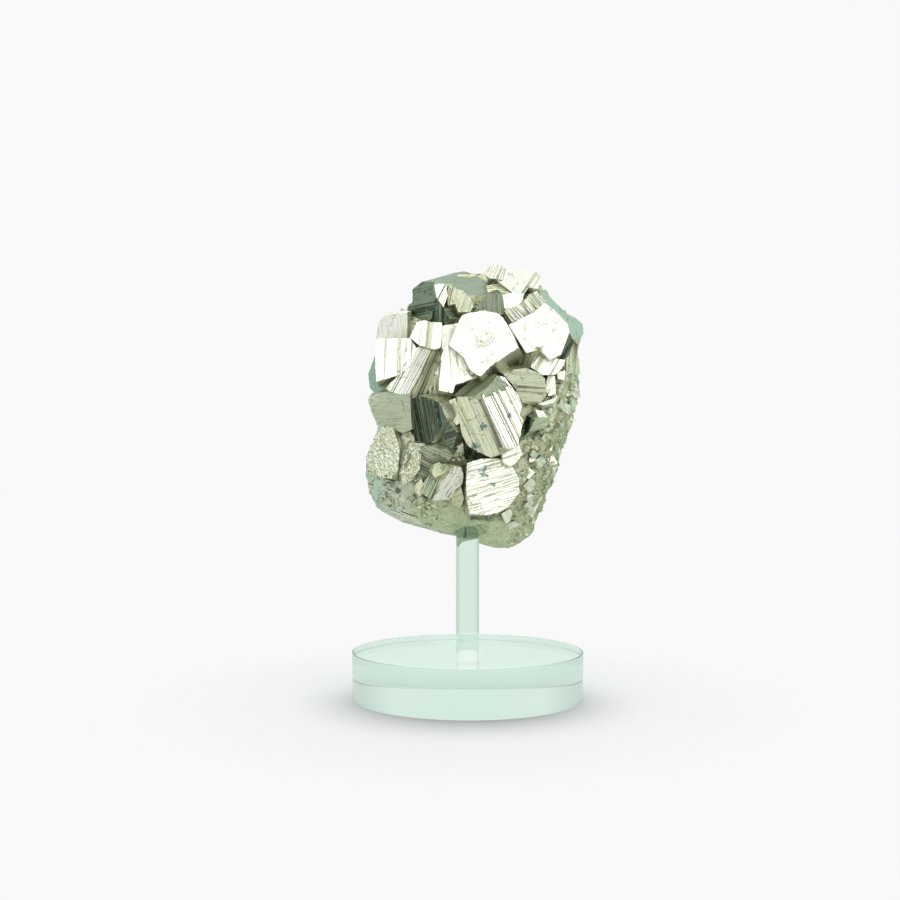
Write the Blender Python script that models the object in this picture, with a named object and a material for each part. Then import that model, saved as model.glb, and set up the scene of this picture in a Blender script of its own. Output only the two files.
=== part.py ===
"""A pyrite crystal cluster held up on a clear acrylic stand: a round base, a rod, and the specimen.

Metres, +Z up. The origin is the centre of the base's underside, on the rod's axis, and the crystals
face -Y. Lengths that describe the specimen are written in millimetres and scaled by MM.
"""

import math
import random

import bmesh
import bpy
from mathutils import Matrix, Vector, noise

MM = 0.001

# Stand
BASE_DIAMETER = 100.0
BASE_THICKNESS = 20.0
BASE_EDGE_ROUND = 0.8
EDGE_SEGMENTS = 1
ROD_DIAMETER = 10.0
ROD_TOP = 97.0
ROD_EDGE_ROUND = 0.5
FIT_GAP = 0.3
BASE_SIDES = 84
ROD_SIDES = 28
HOLE_EDGE_ROUND = 0.2
SHARP_ANGLE = 50.0

# The front of the specimen was measured as it looks to an eye at this place, on the plane through the rod
EYE = (-7.6, -560.0, 107.0)

# Matrix: height, left, right, front and back of the massive pyrite that the crystals grow on
MATRIX_LEVELS = (
    (63.2, 12.0, 18.5, 15.0, 21.0),
    (65.5, 5.0, 23.0, 8.0, 25.0),
    (68.0, -2.0, 26.0, 4.0, 27.0),
    (71.0, -13.0, 28.5, -1.0, 28.5),
    (74.0, -25.0, 29.0, -6.0, 29.0),
    (78.0, -33.5, 29.5, -10.0, 30.0),
    (82.0, -41.0, 30.5, -13.0, 30.0),
    (88.0, -42.5, 34.0, -15.0, 31.0),
    (95.0, -44.0, 37.5, -16.0, 32.0),
    (103.0, -43.0, 39.5, -17.0, 32.0),
    (110.0, -40.5, 41.0, -18.0, 32.0),
    (118.0, -38.0, 45.0, -18.0, 31.0),
    (126.0, -40.0, 46.5, -18.0, 31.0),
    (134.0, -40.5, 48.5, -18.0, 30.0),
    (142.0, -40.5, 48.0, -18.0, 29.0),
    (150.0, -39.0, 47.0, -16.0, 28.0),
    (158.0, -36.0, 48.5, -14.0, 26.0),
    (164.0, -32.0, 46.0, -11.0, 23.0),
    (170.0, -23.0, 38.0, -8.0, 20.0),
    (176.0, -20.5, 33.0, -4.0, 16.0),
    (181.0, -14.0, 30.0, 0.0, 12.0),
    (184.0, -4.0, 27.0, 3.0, 8.0),
)
# Its rings lie closer together near the top and bottom, and the first and last few are even
MATRIX_ROWS = 28
MATRIX_COLUMNS = 40
EVEN_ROWS = 3
ROW_CROWDING = 0.9
UNEVENNESS = 0.33
# Its level outline is between an ellipse (2) and a box (many), and its lumps lie around this core
MATRIX_BOXINESS = 2.9
MATRIX_CORE = (2.0, 6.0)
# Width and height of its lumps
LUMPS = ((13.0, 2.2), (5.5, 0.9))

# Pits in the matrix: across, up, place along Y, and how wide, high and deep
PITS = (
    (21.5, 71.0, -4.0, 3.2, 2.0, 4.0),
    (-9.0, 75.2, -9.5, 1.3, 0.9, 2.2),
    (-13.2, 78.6, -12.5, 1.6, 1.1, 2.4),
    (-24.5, 85.0, -14.5, 2.4, 2.2, 3.0),
)

# Crystals that face the eye: outline across and up, where it looks (turned right, tipped up), place of
# its face along Y, and how deep it goes
CRYSTALS = {
    "crown_top": (
        ((-19.5, 180.2), (-14, 181.7), (-6, 184), (-1.5, 184.7), (3, 183.3), (6.5, 181.3), (12, 177.5),
         (15, 175.2), (3, 174.2), (-6, 174), (-14, 176), (-16, 178.5)), -4, 58, -4, 14),
    "crown_left": (
        ((-14.5, 180), (-19.5, 180.3), (-23.7, 177.2), (-24, 171.5), (-26, 168.7), (-25.8, 165.3),
         (-25, 160.3), (-20, 160), (-16, 163.8), (-13.7, 172.7)), -38, 2, -9, 16),
    "crown_front": (
        ((-2, 174.4), (8, 174.8), (15, 175.2), (16, 166), (8, 165), (-2, 165)), -16, -8, -13, 14),
    "nest_white": (((-14.5, 178.6), (-12.5, 179.3), (-9.3, 178.7), (-8.7, 174), (-10.5, 169), (-13.5, 173.2)),
                   8, 4, -18, 9),
    "nest_brass": (((-9.2, 178.4), (-5.6, 178.2), (-4.4, 175), (-5.2, 170.5), (-8.5, 170)), -12, 10, -17, 9),
    "nest_right": (((-5, 177), (-2, 176.4), (1.5, 173), (2.5, 169.5), (1, 167), (-4, 167), (-5.5, 170.5)),
                   12, 8, -16.5, 9),
    "nest_low": (((-16.5, 164), (-13.6, 171.5), (-10, 168.5), (-8, 164), (-10, 161), (-15, 161)),
                 -40, -6, -15.5, 9),
    "left_cap": (
        ((-39.6, 157.5), (-38.4, 163), (-36, 165.4), (-33, 166), (-26.2, 166.8), (-26.5, 155), (-39.8, 155)),
        -6, -9, -15, 13),
    "left_cube": (
        ((-39.4, 155.3), (-25, 155.6), (-22, 151), (-25, 143.5), (-30, 139.6), (-39.6, 136.7), (-40.2, 146)),
        -4, 3, -21, 18),
    "left_back_slab": (
        ((-39, 152), (-41, 146), (-43.2, 140), (-42.5, 134), (-40, 131), (-34, 131), (-34, 152)),
        -42, 4, -9, 12),
    "upper_cube": (
        ((-25, 156), (-22, 162.6), (-20, 163.2), (-11.2, 162.2), (-10.4, 152), (-14, 150.6), (-21, 152.4)),
        2, 8, -22, 16),
    "hex_crystal": (
        ((-6, 158), (-2.6, 165.3), (0, 166.4), (7, 167.6), (13, 166.4), (15.3, 164.6), (19, 158.5),
         (22, 151.5), (16, 147.6), (10, 143.6), (5.5, 139), (1, 142), (-1.8, 147.5), (-8, 152.5)),
        -9, 10, -32, 20),
    "white_slab": (
        ((-9.2, 153.5), (-1, 151), (3, 144), (5.5, 139), (-5.3, 135.4), (-6.7, 131.7), (-12.5, 133),
         (-11.2, 148.5)), 3, 5, -28, 16),
    "between_cubes": (((-11, 161), (-4.5, 162), (-5, 153), (-11, 150.5)), 6, 14, -24, 14),
    "right_cube": (
        ((17.8, 161.4), (25, 164.8), (29, 167), (33.5, 171), (38, 167.5), (43.7, 161.5), (44.3, 158.5),
         (40.5, 148.5), (36, 146.2), (31, 150.5), (25.5, 149.2)), 8, 6, -25, 18),
    "right_low_white": (
        ((33, 151.5), (37, 147.2), (42.5, 146), (41, 142.5), (38, 139.8), (32.5, 139.6), (27.5, 143),
         (29.5, 148.5)), 5, 2, -22, 14),
    "olive_wedge": (((25.3, 149.3), (30, 152), (31.6, 151.6), (27, 142.5), (20, 141.5), (15.5, 140.3),
                     (19, 145)), -36, -16, -21, 12),
    "top_block": (
        ((12.5, 181), (13, 186.8), (20, 185.2), (27, 185.5), (30.5, 184), (32.2, 181.3), (30.5, 177),
         (26.5, 177.6), (23.7, 173.5), (19.5, 175.3)), 10, 14, -8, 16),
    "top_knob": (((7.2, 183.5), (8.5, 186), (10.5, 187.4), (14, 187.6), (16, 186.2), (15, 181), (9.5, 181.6)),
                 -14, 8, -9.5, 12),
    "below_knob": (((8, 178.4), (14, 179.6), (19, 175.4), (17, 173.5), (9, 175)), 14, 30, -10.5, 10),
    "top_low_white": (((15.5, 174.5), (19.5, 175.4), (24.5, 175), (23.6, 171), (19.5, 168.5), (16, 168.5)),
                      6, 6, -14, 12),
    "striped_step": (
        ((16, 167.8), (19.4, 162.6), (29, 165.8), (34, 171.3), (30.2, 176.2), (26.5, 174.4), (24, 170.6)),
        -6, 22, -17, 14),
    "right_shoulder": (
        ((31, 176.5), (33.5, 176), (39.5, 169.8), (43, 166.4), (47, 164.4), (50, 161.8), (50.4, 157.5),
         (48.5, 154.8), (43, 156), (33, 170)), 26, 26, -6, 16),
    "right_band": (
        ((44.6, 157.5), (46.2, 154), (44, 148), (40, 145.6), (36, 146), (40, 150)),
        34, -22, -19, 12),
    "right_edge_slab": (((45.5, 155), (49, 154), (47.8, 150), (48.4, 145), (49, 140), (43, 139), (42.6, 147)),
                        40, 0, -8, 14),
    "diagonal_slab": (
        ((-24.5, 150), (-21.5, 151.8), (-15.2, 150.4), (-20.5, 140), (-25.7, 130.2), (-34, 132.5),
         (-35.5, 134), (-30, 139.6)), 8, -3, -20.5, 14),
    "diagonal_recess": (
        ((-15.4, 150.6), (-12, 151), (-11, 148.5), (-12, 133), (-16, 130.5), (-25.6, 129.6), (-20.3, 140)),
        30, -14, -18, 14),
    "dark_crystal": (
        ((-21, 130.7), (-15, 129.3), (-11.8, 127.3), (-9.3, 120.7), (-12.5, 114.5), (-15.5, 110),
         (-23.4, 111.2), (-25.7, 120), (-25, 125.5)), -40, -8, -22, 16),
    "dark_wing": (
        ((-8, 119), (-4.6, 114.6), (-6.2, 108), (-8, 106.6), (-18, 108.6), (-14, 113.5)),
        -36, -18, -22, 12),
    "left_block": (
        ((-43.5, 129.3), (-41.5, 131.7), (-36, 132.2), (-25, 131), (-24.6, 122), (-24.2, 116), (-28, 114.4),
         (-36, 117), (-39, 117.6), (-41.5, 123)), -24, -10, -17, 16),
    "rough_lump": (
        ((-40.3, 113), (-36, 117.4), (-32.5, 117), (-29.6, 108), (-30.2, 98), (-33, 94.4), (-40, 95.4),
         (-44, 98), (-44, 104)), -18, 4, -17, 16),
    "rough_prism_left": (
        ((-30, 107.4), (-25, 110), (-24.5, 104), (-27.5, 99), (-30.2, 102)),
        -34, 12, -19, 10),
    "rough_prism": (((-25.6, 110), (-18.4, 110), (-20.2, 106.5), (-20.6, 98.6), (-24, 94), (-28.2, 92),
                     (-29.6, 97)), 6, -4, -20, 12),
    "striated_low": (
        ((-20.2, 107.2), (-18.5, 109), (-9.5, 107.4), (-6, 105), (-9.5, 100.8), (-14, 96), (-18.6, 93.6),
         (-20.8, 99)), -16, -24, -20, 12),
    "roof_left": (((-12, 101), (-8.4, 100.4), (-15.2, 85.2), (-19.6, 88), (-19.4, 92)), -38, 2, -23, 12),
    "roof_right": (
        ((-8.5, 100.4), (-2.8, 99.6), (-1.8, 96), (-2.4, 92), (-5, 90), (-8, 85.4), (-15.3, 85)),
        14, -6, -24, 12),
    "mid_dark": (((-4.6, 114), (-1.5, 113.5), (2, 108), (6.6, 106.2), (5.5, 103), (-5, 103.2), (-6.4, 107)),
                 -44, -14, -19, 12),
    "prism_left": (
        ((-4.8, 130.1), (5.5, 130.4), (16, 107), (13, 104.8), (10, 103.7), (4.3, 106.6),
         (0, 109), (-2.4, 113.5)),
        -21, -6, -29, 16),
    "prism_right": (
        ((13.5, 139.2), (16.2, 138.2), (22, 130.5), (23.6, 126.5), (22.2, 122), (24, 119.6), (22, 110),
         (19.6, 107.6), (15.8, 107.4), (5.8, 130.4)), 22, 8, -29, 18),
    "prism_foot": (
        ((14.4, 107.4), (22, 109), (24, 105.5), (21, 101.4), (18.5, 99.8), (15.6, 101.6)),
        8, 10, -28, 10),
    "prism_top": (
        ((-5.4, 130.6), (0, 129), (6.2, 130.2), (13.6, 139), (12, 140), (6, 138.6), (0, 136), (-5.4, 133.4)),
        -42, 34, -27, 12),
    "mid_pale": (
        ((-11.6, 127), (-5.4, 129.6), (-3, 119), (-5, 117.8), (-7.8, 119.4), (-10.2, 122.6)),
        -12, 2, -24, 12),
    "striped_block": (
        ((15.6, 140), (20, 142), (25.5, 142.6), (29.8, 141), (33.6, 138.2), (34.4, 131), (30.5, 126.4),
         (23.6, 127.6), (20.5, 134)), 20, -14, -23, 16),
    "low_cube": (
        ((-0.2, 101.2), (5, 103), (13.5, 103.2), (19.5, 100), (22.4, 94.4), (22.2, 88.5), (18, 82.5),
         (14, 80.3), (8, 78.7), (0.8, 79.4), (-0.7, 90)), 3, 3, -25, 16),
    "dark_sliver": (((22, 110), (24.4, 118), (26, 122), (29.2, 120), (26.6, 115)), -46, -10, -21, 10),
    "pale_chip_a": (((29.5, 124.4), (33, 124), (34.6, 121.4), (31, 120.6)), 18, 18, -21, 8),
    "pale_chip_b": (((30.4, 127), (38.8, 130), (38, 127.6), (33, 126.4)), 12, 24, -19, 8),
    "pale_chip_c": (((35, 139.6), (38, 139), (38.4, 131.4), (35.4, 130.4), (33.6, 134)), 16, 2, -19, 10),
    "pale_chip_d": (((38.6, 141.4), (42.4, 141.2), (42, 137.4), (39.2, 138)), 10, 12, -18, 8),
    "low_left_chip": (((-22.6, 92), (-20.2, 94.6), (-18.6, 91), (-20.4, 86.8), (-23, 89)), -20, 6, -19, 8),
    "low_mid_chip": (((-7.4, 87), (-3, 91.4), (-1.6, 86), (-3, 81.6), (-6.6, 83.4)), -12, -10, -19, 8),
}

# Low steps that run across the biggest faces: angle of their line above horizontal, seen from in front
STEPPED_FACES = {
    "white_slab": (96, 2),
    "left_cube": (88, 2),
    "upper_cube": (84, 2),
    "diagonal_slab": (62, 4),
    "diagonal_recess": (70, 3),
    "dark_crystal": (101, 4),
    "prism_left": (-64, 3),
    "prism_right": (-63, 4),
    "prism_top": (30, 2),
    "striped_block": (-8, 4),
    "low_cube": (16, 4),
    "roof_left": (58, 3),
    "striated_low": (-25, 3),
    "crown_left": (4, 3),
}
STEP_WIDTH = (0.9, 2.4)
STEP_HEIGHT = (0.35, 0.8)
STEP_STRAY = (0.3, 0.9)
STEP_MARGIN = 0.2
STEP_ROOT = 0.6

# Faces that meet at less than this angle are one flat face
FLAT_ANGLE = math.radians(0.6)

# A crystal is this much wider at its root than at its face
ROOT_WIDENING = 1.1

# A blocky crystal: how far its three sides stretch, how its cut corner leans, and where the cut is
BLOCK_STRETCH = (0.75, 1.2)
CORNER_LEAN = (0.6, 1.2)
CORNER_CUT = (0.46, 0.6)

# Blocky crystals over the sides and back, lying nearly flat: size, how far they rise, and how far round
# from the back they reach (degrees). Near the top they turn upwards
SIDE_CRYSTALS = 66
SIDE_CRYSTAL_HEIGHTS = (84.0, 180.0)
SIDE_CRYSTAL_SIZE = (9.0, 19.0)
SIDE_CRYSTAL_RISE = (0.6, 3.8)
SIDE_CRYSTAL_LEAN = 24.0
SIDE_CRYSTAL_REACH = 112.0
SIDE_SPREAD = 1.236
SIDE_CROWDING = 1.25
EDGE_RISE = 1.2
TURN_UP_FROM = 166.0
TURN_UP_OVER = 18.0

# Grains down the right of the front: how far round (degrees), and what share of a grain stands out
GRAIN_CRYSTALS = 38
GRAIN_CRYSTAL_SIZE = (2.8, 5.4)
GRAIN_HEIGHTS = (72.0, 150.0)
GRAIN_ANGLES = (-58.0, -12.0)
GRAIN_LEAN = 80.0
GRAIN_RISE = 0.45
GRAIN_EDGE_RISE = 0.4
SEED = 11


def clear_scene():
    """Removes whatever the file opened with."""
    for obj in list(bpy.data.objects):
        bpy.data.objects.remove(obj)


def plain_material(name, colour, roughness, metallic, transmission=0.0):
    """A Principled BSDF with one colour."""
    material = bpy.data.materials.new(name)
    material.use_nodes = True
    shader = material.node_tree.nodes["Principled BSDF"]
    shader.inputs["Base Color"].default_value = (*colour, 1.0)
    shader.inputs["Roughness"].default_value = roughness
    shader.inputs["Metallic"].default_value = metallic
    shader.inputs["Transmission Weight"].default_value = transmission
    return material


def object_from(bm, name, material=None):
    """Turns a bmesh in millimetres into an object in metres."""
    bmesh.ops.recalc_face_normals(bm, faces=bm.faces)
    bmesh.ops.scale(bm, vec=(MM, MM, MM), verts=bm.verts)
    mesh = bpy.data.meshes.new(name)
    bm.to_mesh(mesh)
    bm.free()
    if material is not None:
        mesh.materials.append(material)
    obj = bpy.data.objects.new(name, mesh)
    bpy.context.scene.collection.objects.link(obj)
    return obj


def rounded_cylinder(name, diameter, bottom, top, edge_round, sides, material):
    """An upright round bar on the Z axis with rounded rims, shaded smooth."""
    bm = bmesh.new()
    bmesh.ops.create_cone(
        bm, cap_ends=True, segments=sides, radius1=diameter / 2, radius2=diameter / 2, depth=top - bottom
    )
    bmesh.ops.translate(bm, vec=(0, 0, (top + bottom) / 2), verts=bm.verts)
    rims = [e for e in bm.edges if abs(e.verts[0].co.z - e.verts[1].co.z) < 1e-6]
    bmesh.ops.bevel(bm, geom=rims, offset=edge_round, segments=EDGE_SEGMENTS, affect="EDGES")
    obj = object_from(bm, name, material)
    obj.data.shade_smooth()
    obj.data.set_sharp_from_angle(angle=math.radians(SHARP_ANGLE))
    return obj


def at_level(height):
    """Left, right, front and back of the matrix at a height, between the measured levels."""
    for low, high in zip(MATRIX_LEVELS, MATRIX_LEVELS[1:]):
        if height <= high[0]:
            share = (height - low[0]) / (high[0] - low[0])
            return [a + (b - a) * share for a, b in zip(low[1:], high[1:])]
    return list(MATRIX_LEVELS[-1][1:])


def lumpy(point):
    """Moves a surface point of the matrix in or out by lumps of several sizes."""
    middle = Vector((*MATRIX_CORE, point.z))
    outward = (point - middle).normalized()
    push = sum(height * noise.noise(point / width) for width, height in LUMPS)
    return point + outward * push


def make_matrix():
    """The massive pyrite behind the crystals: rings lofted from bottom to top, then made lumpy."""
    bottom, top = MATRIX_LEVELS[0][0], MATRIX_LEVELS[-1][0]
    rng = random.Random(SEED)
    bm = bmesh.new()
    rings = []
    for row in range(MATRIX_ROWS):
        ring = []
        stray = UNEVENNESS if EVEN_ROWS <= row < MATRIX_ROWS - EVEN_ROWS else 0
        for column in range(MATRIX_COLUMNS):
            share = (row + rng.uniform(-stray, stray)) / (MATRIX_ROWS - 1)
            height = bottom + (top - bottom) * (0.5 - 0.5 * math.cos(math.pi * share)) ** ROW_CROWDING
            angle = 2 * math.pi * (column + rng.uniform(-stray, stray)) / MATRIX_COLUMNS
            ring.append(bm.verts.new(lumpy(matrix_place(height, angle)[0])))
        rings.append(ring)
    for low, high in zip(rings, rings[1:]):
        for i in range(MATRIX_COLUMNS):
            j = (i + 1) % MATRIX_COLUMNS
            bm.faces.new((low[i], low[j], high[j], high[i]))
    for ring in (rings[0], rings[-1]):
        middle = bm.verts.new(sum((v.co for v in ring), Vector()) / MATRIX_COLUMNS)
        for i in range(MATRIX_COLUMNS):
            bm.faces.new((ring[i], ring[(i + 1) % MATRIX_COLUMNS], middle))
    bmesh.ops.triangulate(bm, faces=bm.faces)
    return object_from(bm, "pyrite_cluster")


def looking(turn, tip):
    """The direction a face looks: degrees to the right of the eye, and up."""
    turn, tip = math.radians(turn), math.radians(tip)
    return Vector((math.sin(turn) * math.cos(tip), -math.cos(turn) * math.cos(tip), math.sin(tip)))


def seen_at(across, up, on_plane, normal):
    """The point of a plane that the eye sees at a place of the measuring plane."""
    eye = Vector(EYE)
    ray = Vector((across, 0.0, up)) - eye
    return eye + ray * ((on_plane - eye).dot(normal) / ray.dot(normal))


def make_crystal(name, outline, turn, tip, face_y, depth):
    """A prism whose front has the measured outline, a little wider at its root."""
    normal = looking(turn, tip)
    centre = face_centre(outline, face_y)
    bm = bmesh.new()
    front = bm.faces.new([bm.verts.new(seen_at(a, b, centre, normal)) for a, b in outline])
    made = bmesh.ops.extrude_face_region(bm, geom=[front])["geom"]
    root = [v for v in made if isinstance(v, bmesh.types.BMVert)]
    for vert in root:
        vert.co = centre + (vert.co - centre) * ROOT_WIDENING - normal * depth
    return object_from(bm, name)


def face_centre(outline, face_y):
    """Where the middle of a crystal's face is."""
    middle_across = sum(p[0] for p in outline) / len(outline)
    middle_up = sum(p[1] for p in outline) / len(outline)
    return seen_at(middle_across, middle_up, Vector((0, face_y, 0)), Vector((0, -1, 0)))


def make_steps(name, line_angle, count, rng):
    """Low flat ledges across a crystal's face, all along one direction, as its outline lets them."""
    outline, turn, tip, face_y, _ = CRYSTALS[name]
    normal = looking(turn, tip)
    centre = face_centre(outline, face_y)
    line = Vector((math.cos(math.radians(line_angle)), 0, math.sin(math.radians(line_angle))))
    line = (line - normal * line.dot(normal)).normalized()
    across = normal.cross(line)
    corners = [seen_at(a, b, centre, normal) for a, b in outline]
    reach = [(c - centre).dot(across) for c in corners]
    low, high = min(reach), max(reach)
    steps = []
    for i in range(count):
        middle = low + (high - low) * (i + rng.uniform(*STEP_STRAY)) / (count + STEP_MARGIN)
        width = rng.uniform(*STEP_WIDTH)
        height = rng.uniform(*STEP_HEIGHT)
        bm = bmesh.new()
        bm.faces.new([bm.verts.new(c) for c in corners])
        for side in (-1, 1):
            bmesh.ops.bisect_plane(
                bm,
                geom=bm.verts[:] + bm.edges[:] + bm.faces[:],
                plane_co=centre + across * (middle + side * width / 2),
                plane_no=across * side,
                clear_outer=True,
            )
        if not bm.faces:
            bm.free()
            continue
        bmesh.ops.translate(bm, vec=normal * height, verts=bm.verts)
        made = bmesh.ops.extrude_face_region(bm, geom=bm.faces[:])["geom"]
        root = [v for v in made if isinstance(v, bmesh.types.BMVert)]
        bmesh.ops.translate(bm, vec=-normal * (height + STEP_ROOT), verts=root)
        steps.append(object_from(bm, f"{name}_step_{i}"))
    return steps


def random_direction(rng):
    """A direction with no preference."""
    up, turn = rng.uniform(-1, 1), rng.uniform(0, 2 * math.pi)
    level = math.sqrt(1 - up * up)
    return Vector((level * math.cos(turn), level * math.sin(turn), up))


def make_block(size, outward, lean, rng):
    """A blocky crystal about the origin, one corner cut off, with one face looking nearly outward."""
    bm = bmesh.new()
    bmesh.ops.create_cube(bm, size=1.0)
    bmesh.ops.scale(bm, vec=[size * rng.uniform(*BLOCK_STRETCH) for _ in range(3)], verts=bm.verts)
    corner = Vector((rng.choice((-1, 1)), rng.choice((-1, 1)), rng.uniform(*CORNER_LEAN))).normalized()
    cut = bmesh.ops.bisect_plane(
        bm,
        geom=bm.verts[:] + bm.edges[:] + bm.faces[:],
        plane_co=corner * size * rng.uniform(*CORNER_CUT),
        plane_no=corner,
        clear_outer=True,
    )
    bmesh.ops.holes_fill(bm, edges=[e for e in cut["geom_cut"] if isinstance(e, bmesh.types.BMEdge)])
    spin = Matrix.Rotation(rng.uniform(0, 2 * math.pi), 3, "Z")
    leaning = (outward + random_direction(rng) * math.tan(math.radians(lean))).normalized()
    turned = Vector((0, 0, 1)).rotation_difference(leaning).to_matrix()
    bmesh.ops.rotate(bm, cent=(0, 0, 0), matrix=turned @ spin, verts=bm.verts)
    return bm


def matrix_place(height, angle):
    """A point of the matrix's surface, and the way out from it. Angle 0 is to the right, 90 the back."""
    left, right, front, back = at_level(height)
    cosine, sine = math.cos(angle), math.sin(angle)
    size = (abs(cosine) ** MATRIX_BOXINESS + abs(sine) ** MATRIX_BOXINESS) ** (-1 / MATRIX_BOXINESS)
    across, along = cosine * size, sine * size
    point = Vector((
        (left + right) / 2 + (right - left) / 2 * across,
        (front + back) / 2 + (back - front) / 2 * along,
        height,
    ))
    steep = MATRIX_BOXINESS - 1
    outward = Vector(
        (math.copysign(abs(across) ** steep, across), math.copysign(abs(along) ** steep, along), 0)
    )
    return point, outward.normalized()


def set_into(bm, place, outward, rise, edge_rise):
    """Sinks a crystal so that it rises by so much, and less where it would widen the front's outline."""
    reach = max(v.co.dot(outward) for v in bm.verts)
    bmesh.ops.translate(bm, vec=place - outward * (reach - rise), verts=bm.verts)
    top = MATRIX_LEVELS[-1][0]
    too_high = max(v.co.z for v in bm.verts) - top
    bmesh.ops.translate(bm, vec=(0, 0, -max(too_high, 0)), verts=bm.verts)
    too_far_right = max(v.co.x - at_level(v.co.z)[1] for v in bm.verts) - edge_rise
    too_far_left = max(at_level(v.co.z)[0] - v.co.x for v in bm.verts) - edge_rise
    bmesh.ops.translate(bm, vec=(max(too_far_left, 0) - max(too_far_right, 0), 0, 0), verts=bm.verts)


def make_side_growth(rng):
    """Blocky crystals over the sides and back, and grains down the right of the front."""
    made = []
    low, high = SIDE_CRYSTAL_HEIGHTS
    for i in range(SIDE_CRYSTALS):
        height = low + (high - low) * (i + rng.random()) / SIDE_CRYSTALS
        side = (i * SIDE_SPREAD) % 2 - 1
        angle = math.radians(90 + math.copysign(abs(side) ** SIDE_CROWDING, side) * SIDE_CRYSTAL_REACH)
        place, outward = matrix_place(height, angle)
        outward.z = max(0, (height - TURN_UP_FROM) / TURN_UP_OVER)
        outward.normalize()
        bm = make_block(rng.uniform(*SIDE_CRYSTAL_SIZE), outward, SIDE_CRYSTAL_LEAN, rng)
        set_into(bm, place, outward, rng.uniform(*SIDE_CRYSTAL_RISE), EDGE_RISE)
        made.append(object_from(bm, f"side_{i}"))
    low, high = GRAIN_HEIGHTS
    for i in range(GRAIN_CRYSTALS):
        height = low + (high - low) * (i + rng.random()) / GRAIN_CRYSTALS
        place, outward = matrix_place(height, math.radians(rng.uniform(*GRAIN_ANGLES)))
        size = rng.uniform(*GRAIN_CRYSTAL_SIZE)
        bm = make_block(size, outward, GRAIN_LEAN, rng)
        set_into(bm, place, outward, size * GRAIN_RISE, GRAIN_EDGE_RISE)
        made.append(object_from(bm, f"grain_{i}"))
    return made


def make_pits():
    """Cutters for the hollows in the matrix's underside and lower left."""
    pits = []
    for i, (across, up, along, wide, high, deep) in enumerate(PITS):
        bm = bmesh.new()
        bmesh.ops.create_icosphere(bm, subdivisions=1, radius=1.0)
        bmesh.ops.scale(bm, vec=(wide, deep, high), verts=bm.verts)
        place = seen_at(across, up, Vector((0, along, 0)), Vector((0, -1, 0)))
        bmesh.ops.translate(bm, vec=place, verts=bm.verts)
        pits.append(object_from(bm, f"pit_{i}"))
    return pits


def add_boolean(obj, operation, helper=None, collection=None):
    """Adds a Boolean with one helper object, or with all the objects of a collection."""
    modifier = obj.modifiers.new(operation.title(), "BOOLEAN")
    modifier.operation = operation
    modifier.solver = "EXACT"
    if collection is not None:
        modifier.operand_type = "COLLECTION"
        modifier.collection = collection
    else:
        modifier.object = helper


def hide_helper(obj):
    """Marks an object as one that only shapes another."""
    obj.hide_render = True
    obj.display_type = "WIRE"


def keep_outer_shell(obj):
    """Fills the small voids that crystals shut between them: only the outermost shell stays."""
    graph = bpy.context.evaluated_depsgraph_get()
    shaped = bpy.data.meshes.new_from_object(obj.evaluated_get(graph))
    bm = bmesh.new()
    bm.from_mesh(shaped)
    waiting, shells = set(bm.verts), []
    while waiting:
        shell, front = set(), [waiting.pop()]
        while front:
            vert = front.pop()
            shell.add(vert)
            near = {e.other_vert(vert) for e in vert.link_edges} & waiting
            waiting -= near
            front.extend(near)
        shells.append(shell)
    outer = max(shells, key=len)
    bmesh.ops.delete(bm, geom=[v for v in bm.verts if v not in outer], context="VERTS")
    bmesh.ops.dissolve_limit(bm, angle_limit=FLAT_ANGLE, verts=bm.verts, edges=bm.edges)
    bm.to_mesh(shaped)
    bm.free()
    obj.modifiers.clear()
    obj.data = shaped


def in_collection(name, objects):
    """Moves helpers into a collection of their own."""
    group = bpy.data.collections.new(name)
    bpy.context.scene.collection.children.link(group)
    for obj in objects:
        bpy.context.scene.collection.objects.unlink(obj)
        group.objects.link(obj)
        hide_helper(obj)
    return group


def make_specimen(material):
    """One solid: the matrix joined with every crystal, with the hole that the rod stands in."""
    rng = random.Random(SEED)
    matrix = make_matrix()
    matrix.data.materials.append(material)
    crystals = [make_crystal(name, *values) for name, values in CRYSTALS.items()]
    for name, (line_angle, count) in STEPPED_FACES.items():
        crystals += make_steps(name, line_angle, count, rng)
    crystals += make_side_growth(rng)
    add_boolean(matrix, "DIFFERENCE", collection=in_collection("pits", make_pits()))
    add_boolean(matrix, "UNION", collection=in_collection("grown_crystals", crystals))
    keep_outer_shell(matrix)
    hole = rounded_cylinder(
        "rod_hole", ROD_DIAMETER + 2 * FIT_GAP, BASE_THICKNESS, ROD_TOP + FIT_GAP, HOLE_EDGE_ROUND,
        ROD_SIDES, None,
    )
    hide_helper(hole)
    add_boolean(matrix, "DIFFERENCE", helper=hole)
    return matrix


def main():
    """Models the base, the rod and the specimen."""
    clear_scene()
    acrylic = plain_material("clear_acrylic", (0.80, 0.92, 0.86), 0.03, 0.0, transmission=1.0)
    pyrite = plain_material("pyrite", (0.62, 0.60, 0.44), 0.28, 1.0)
    rounded_cylinder("acrylic_base", BASE_DIAMETER, 0.0, BASE_THICKNESS, BASE_EDGE_ROUND, BASE_SIDES, acrylic)
    rounded_cylinder(
        "acrylic_rod", ROD_DIAMETER, BASE_THICKNESS + FIT_GAP, ROD_TOP, ROD_EDGE_ROUND, ROD_SIDES, acrylic
    )
    make_specimen(pyrite)


main()
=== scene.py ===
"""A pyrite crystal cluster on a clear acrylic stand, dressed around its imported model.

Metres, +Z up. The origin is the centre of the base's underside and the crystals face -Y.
"""

import math
import random

import bmesh
import bpy
from mathutils import Matrix, Vector, noise
from mathutils.bvhtree import BVHTree


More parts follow.
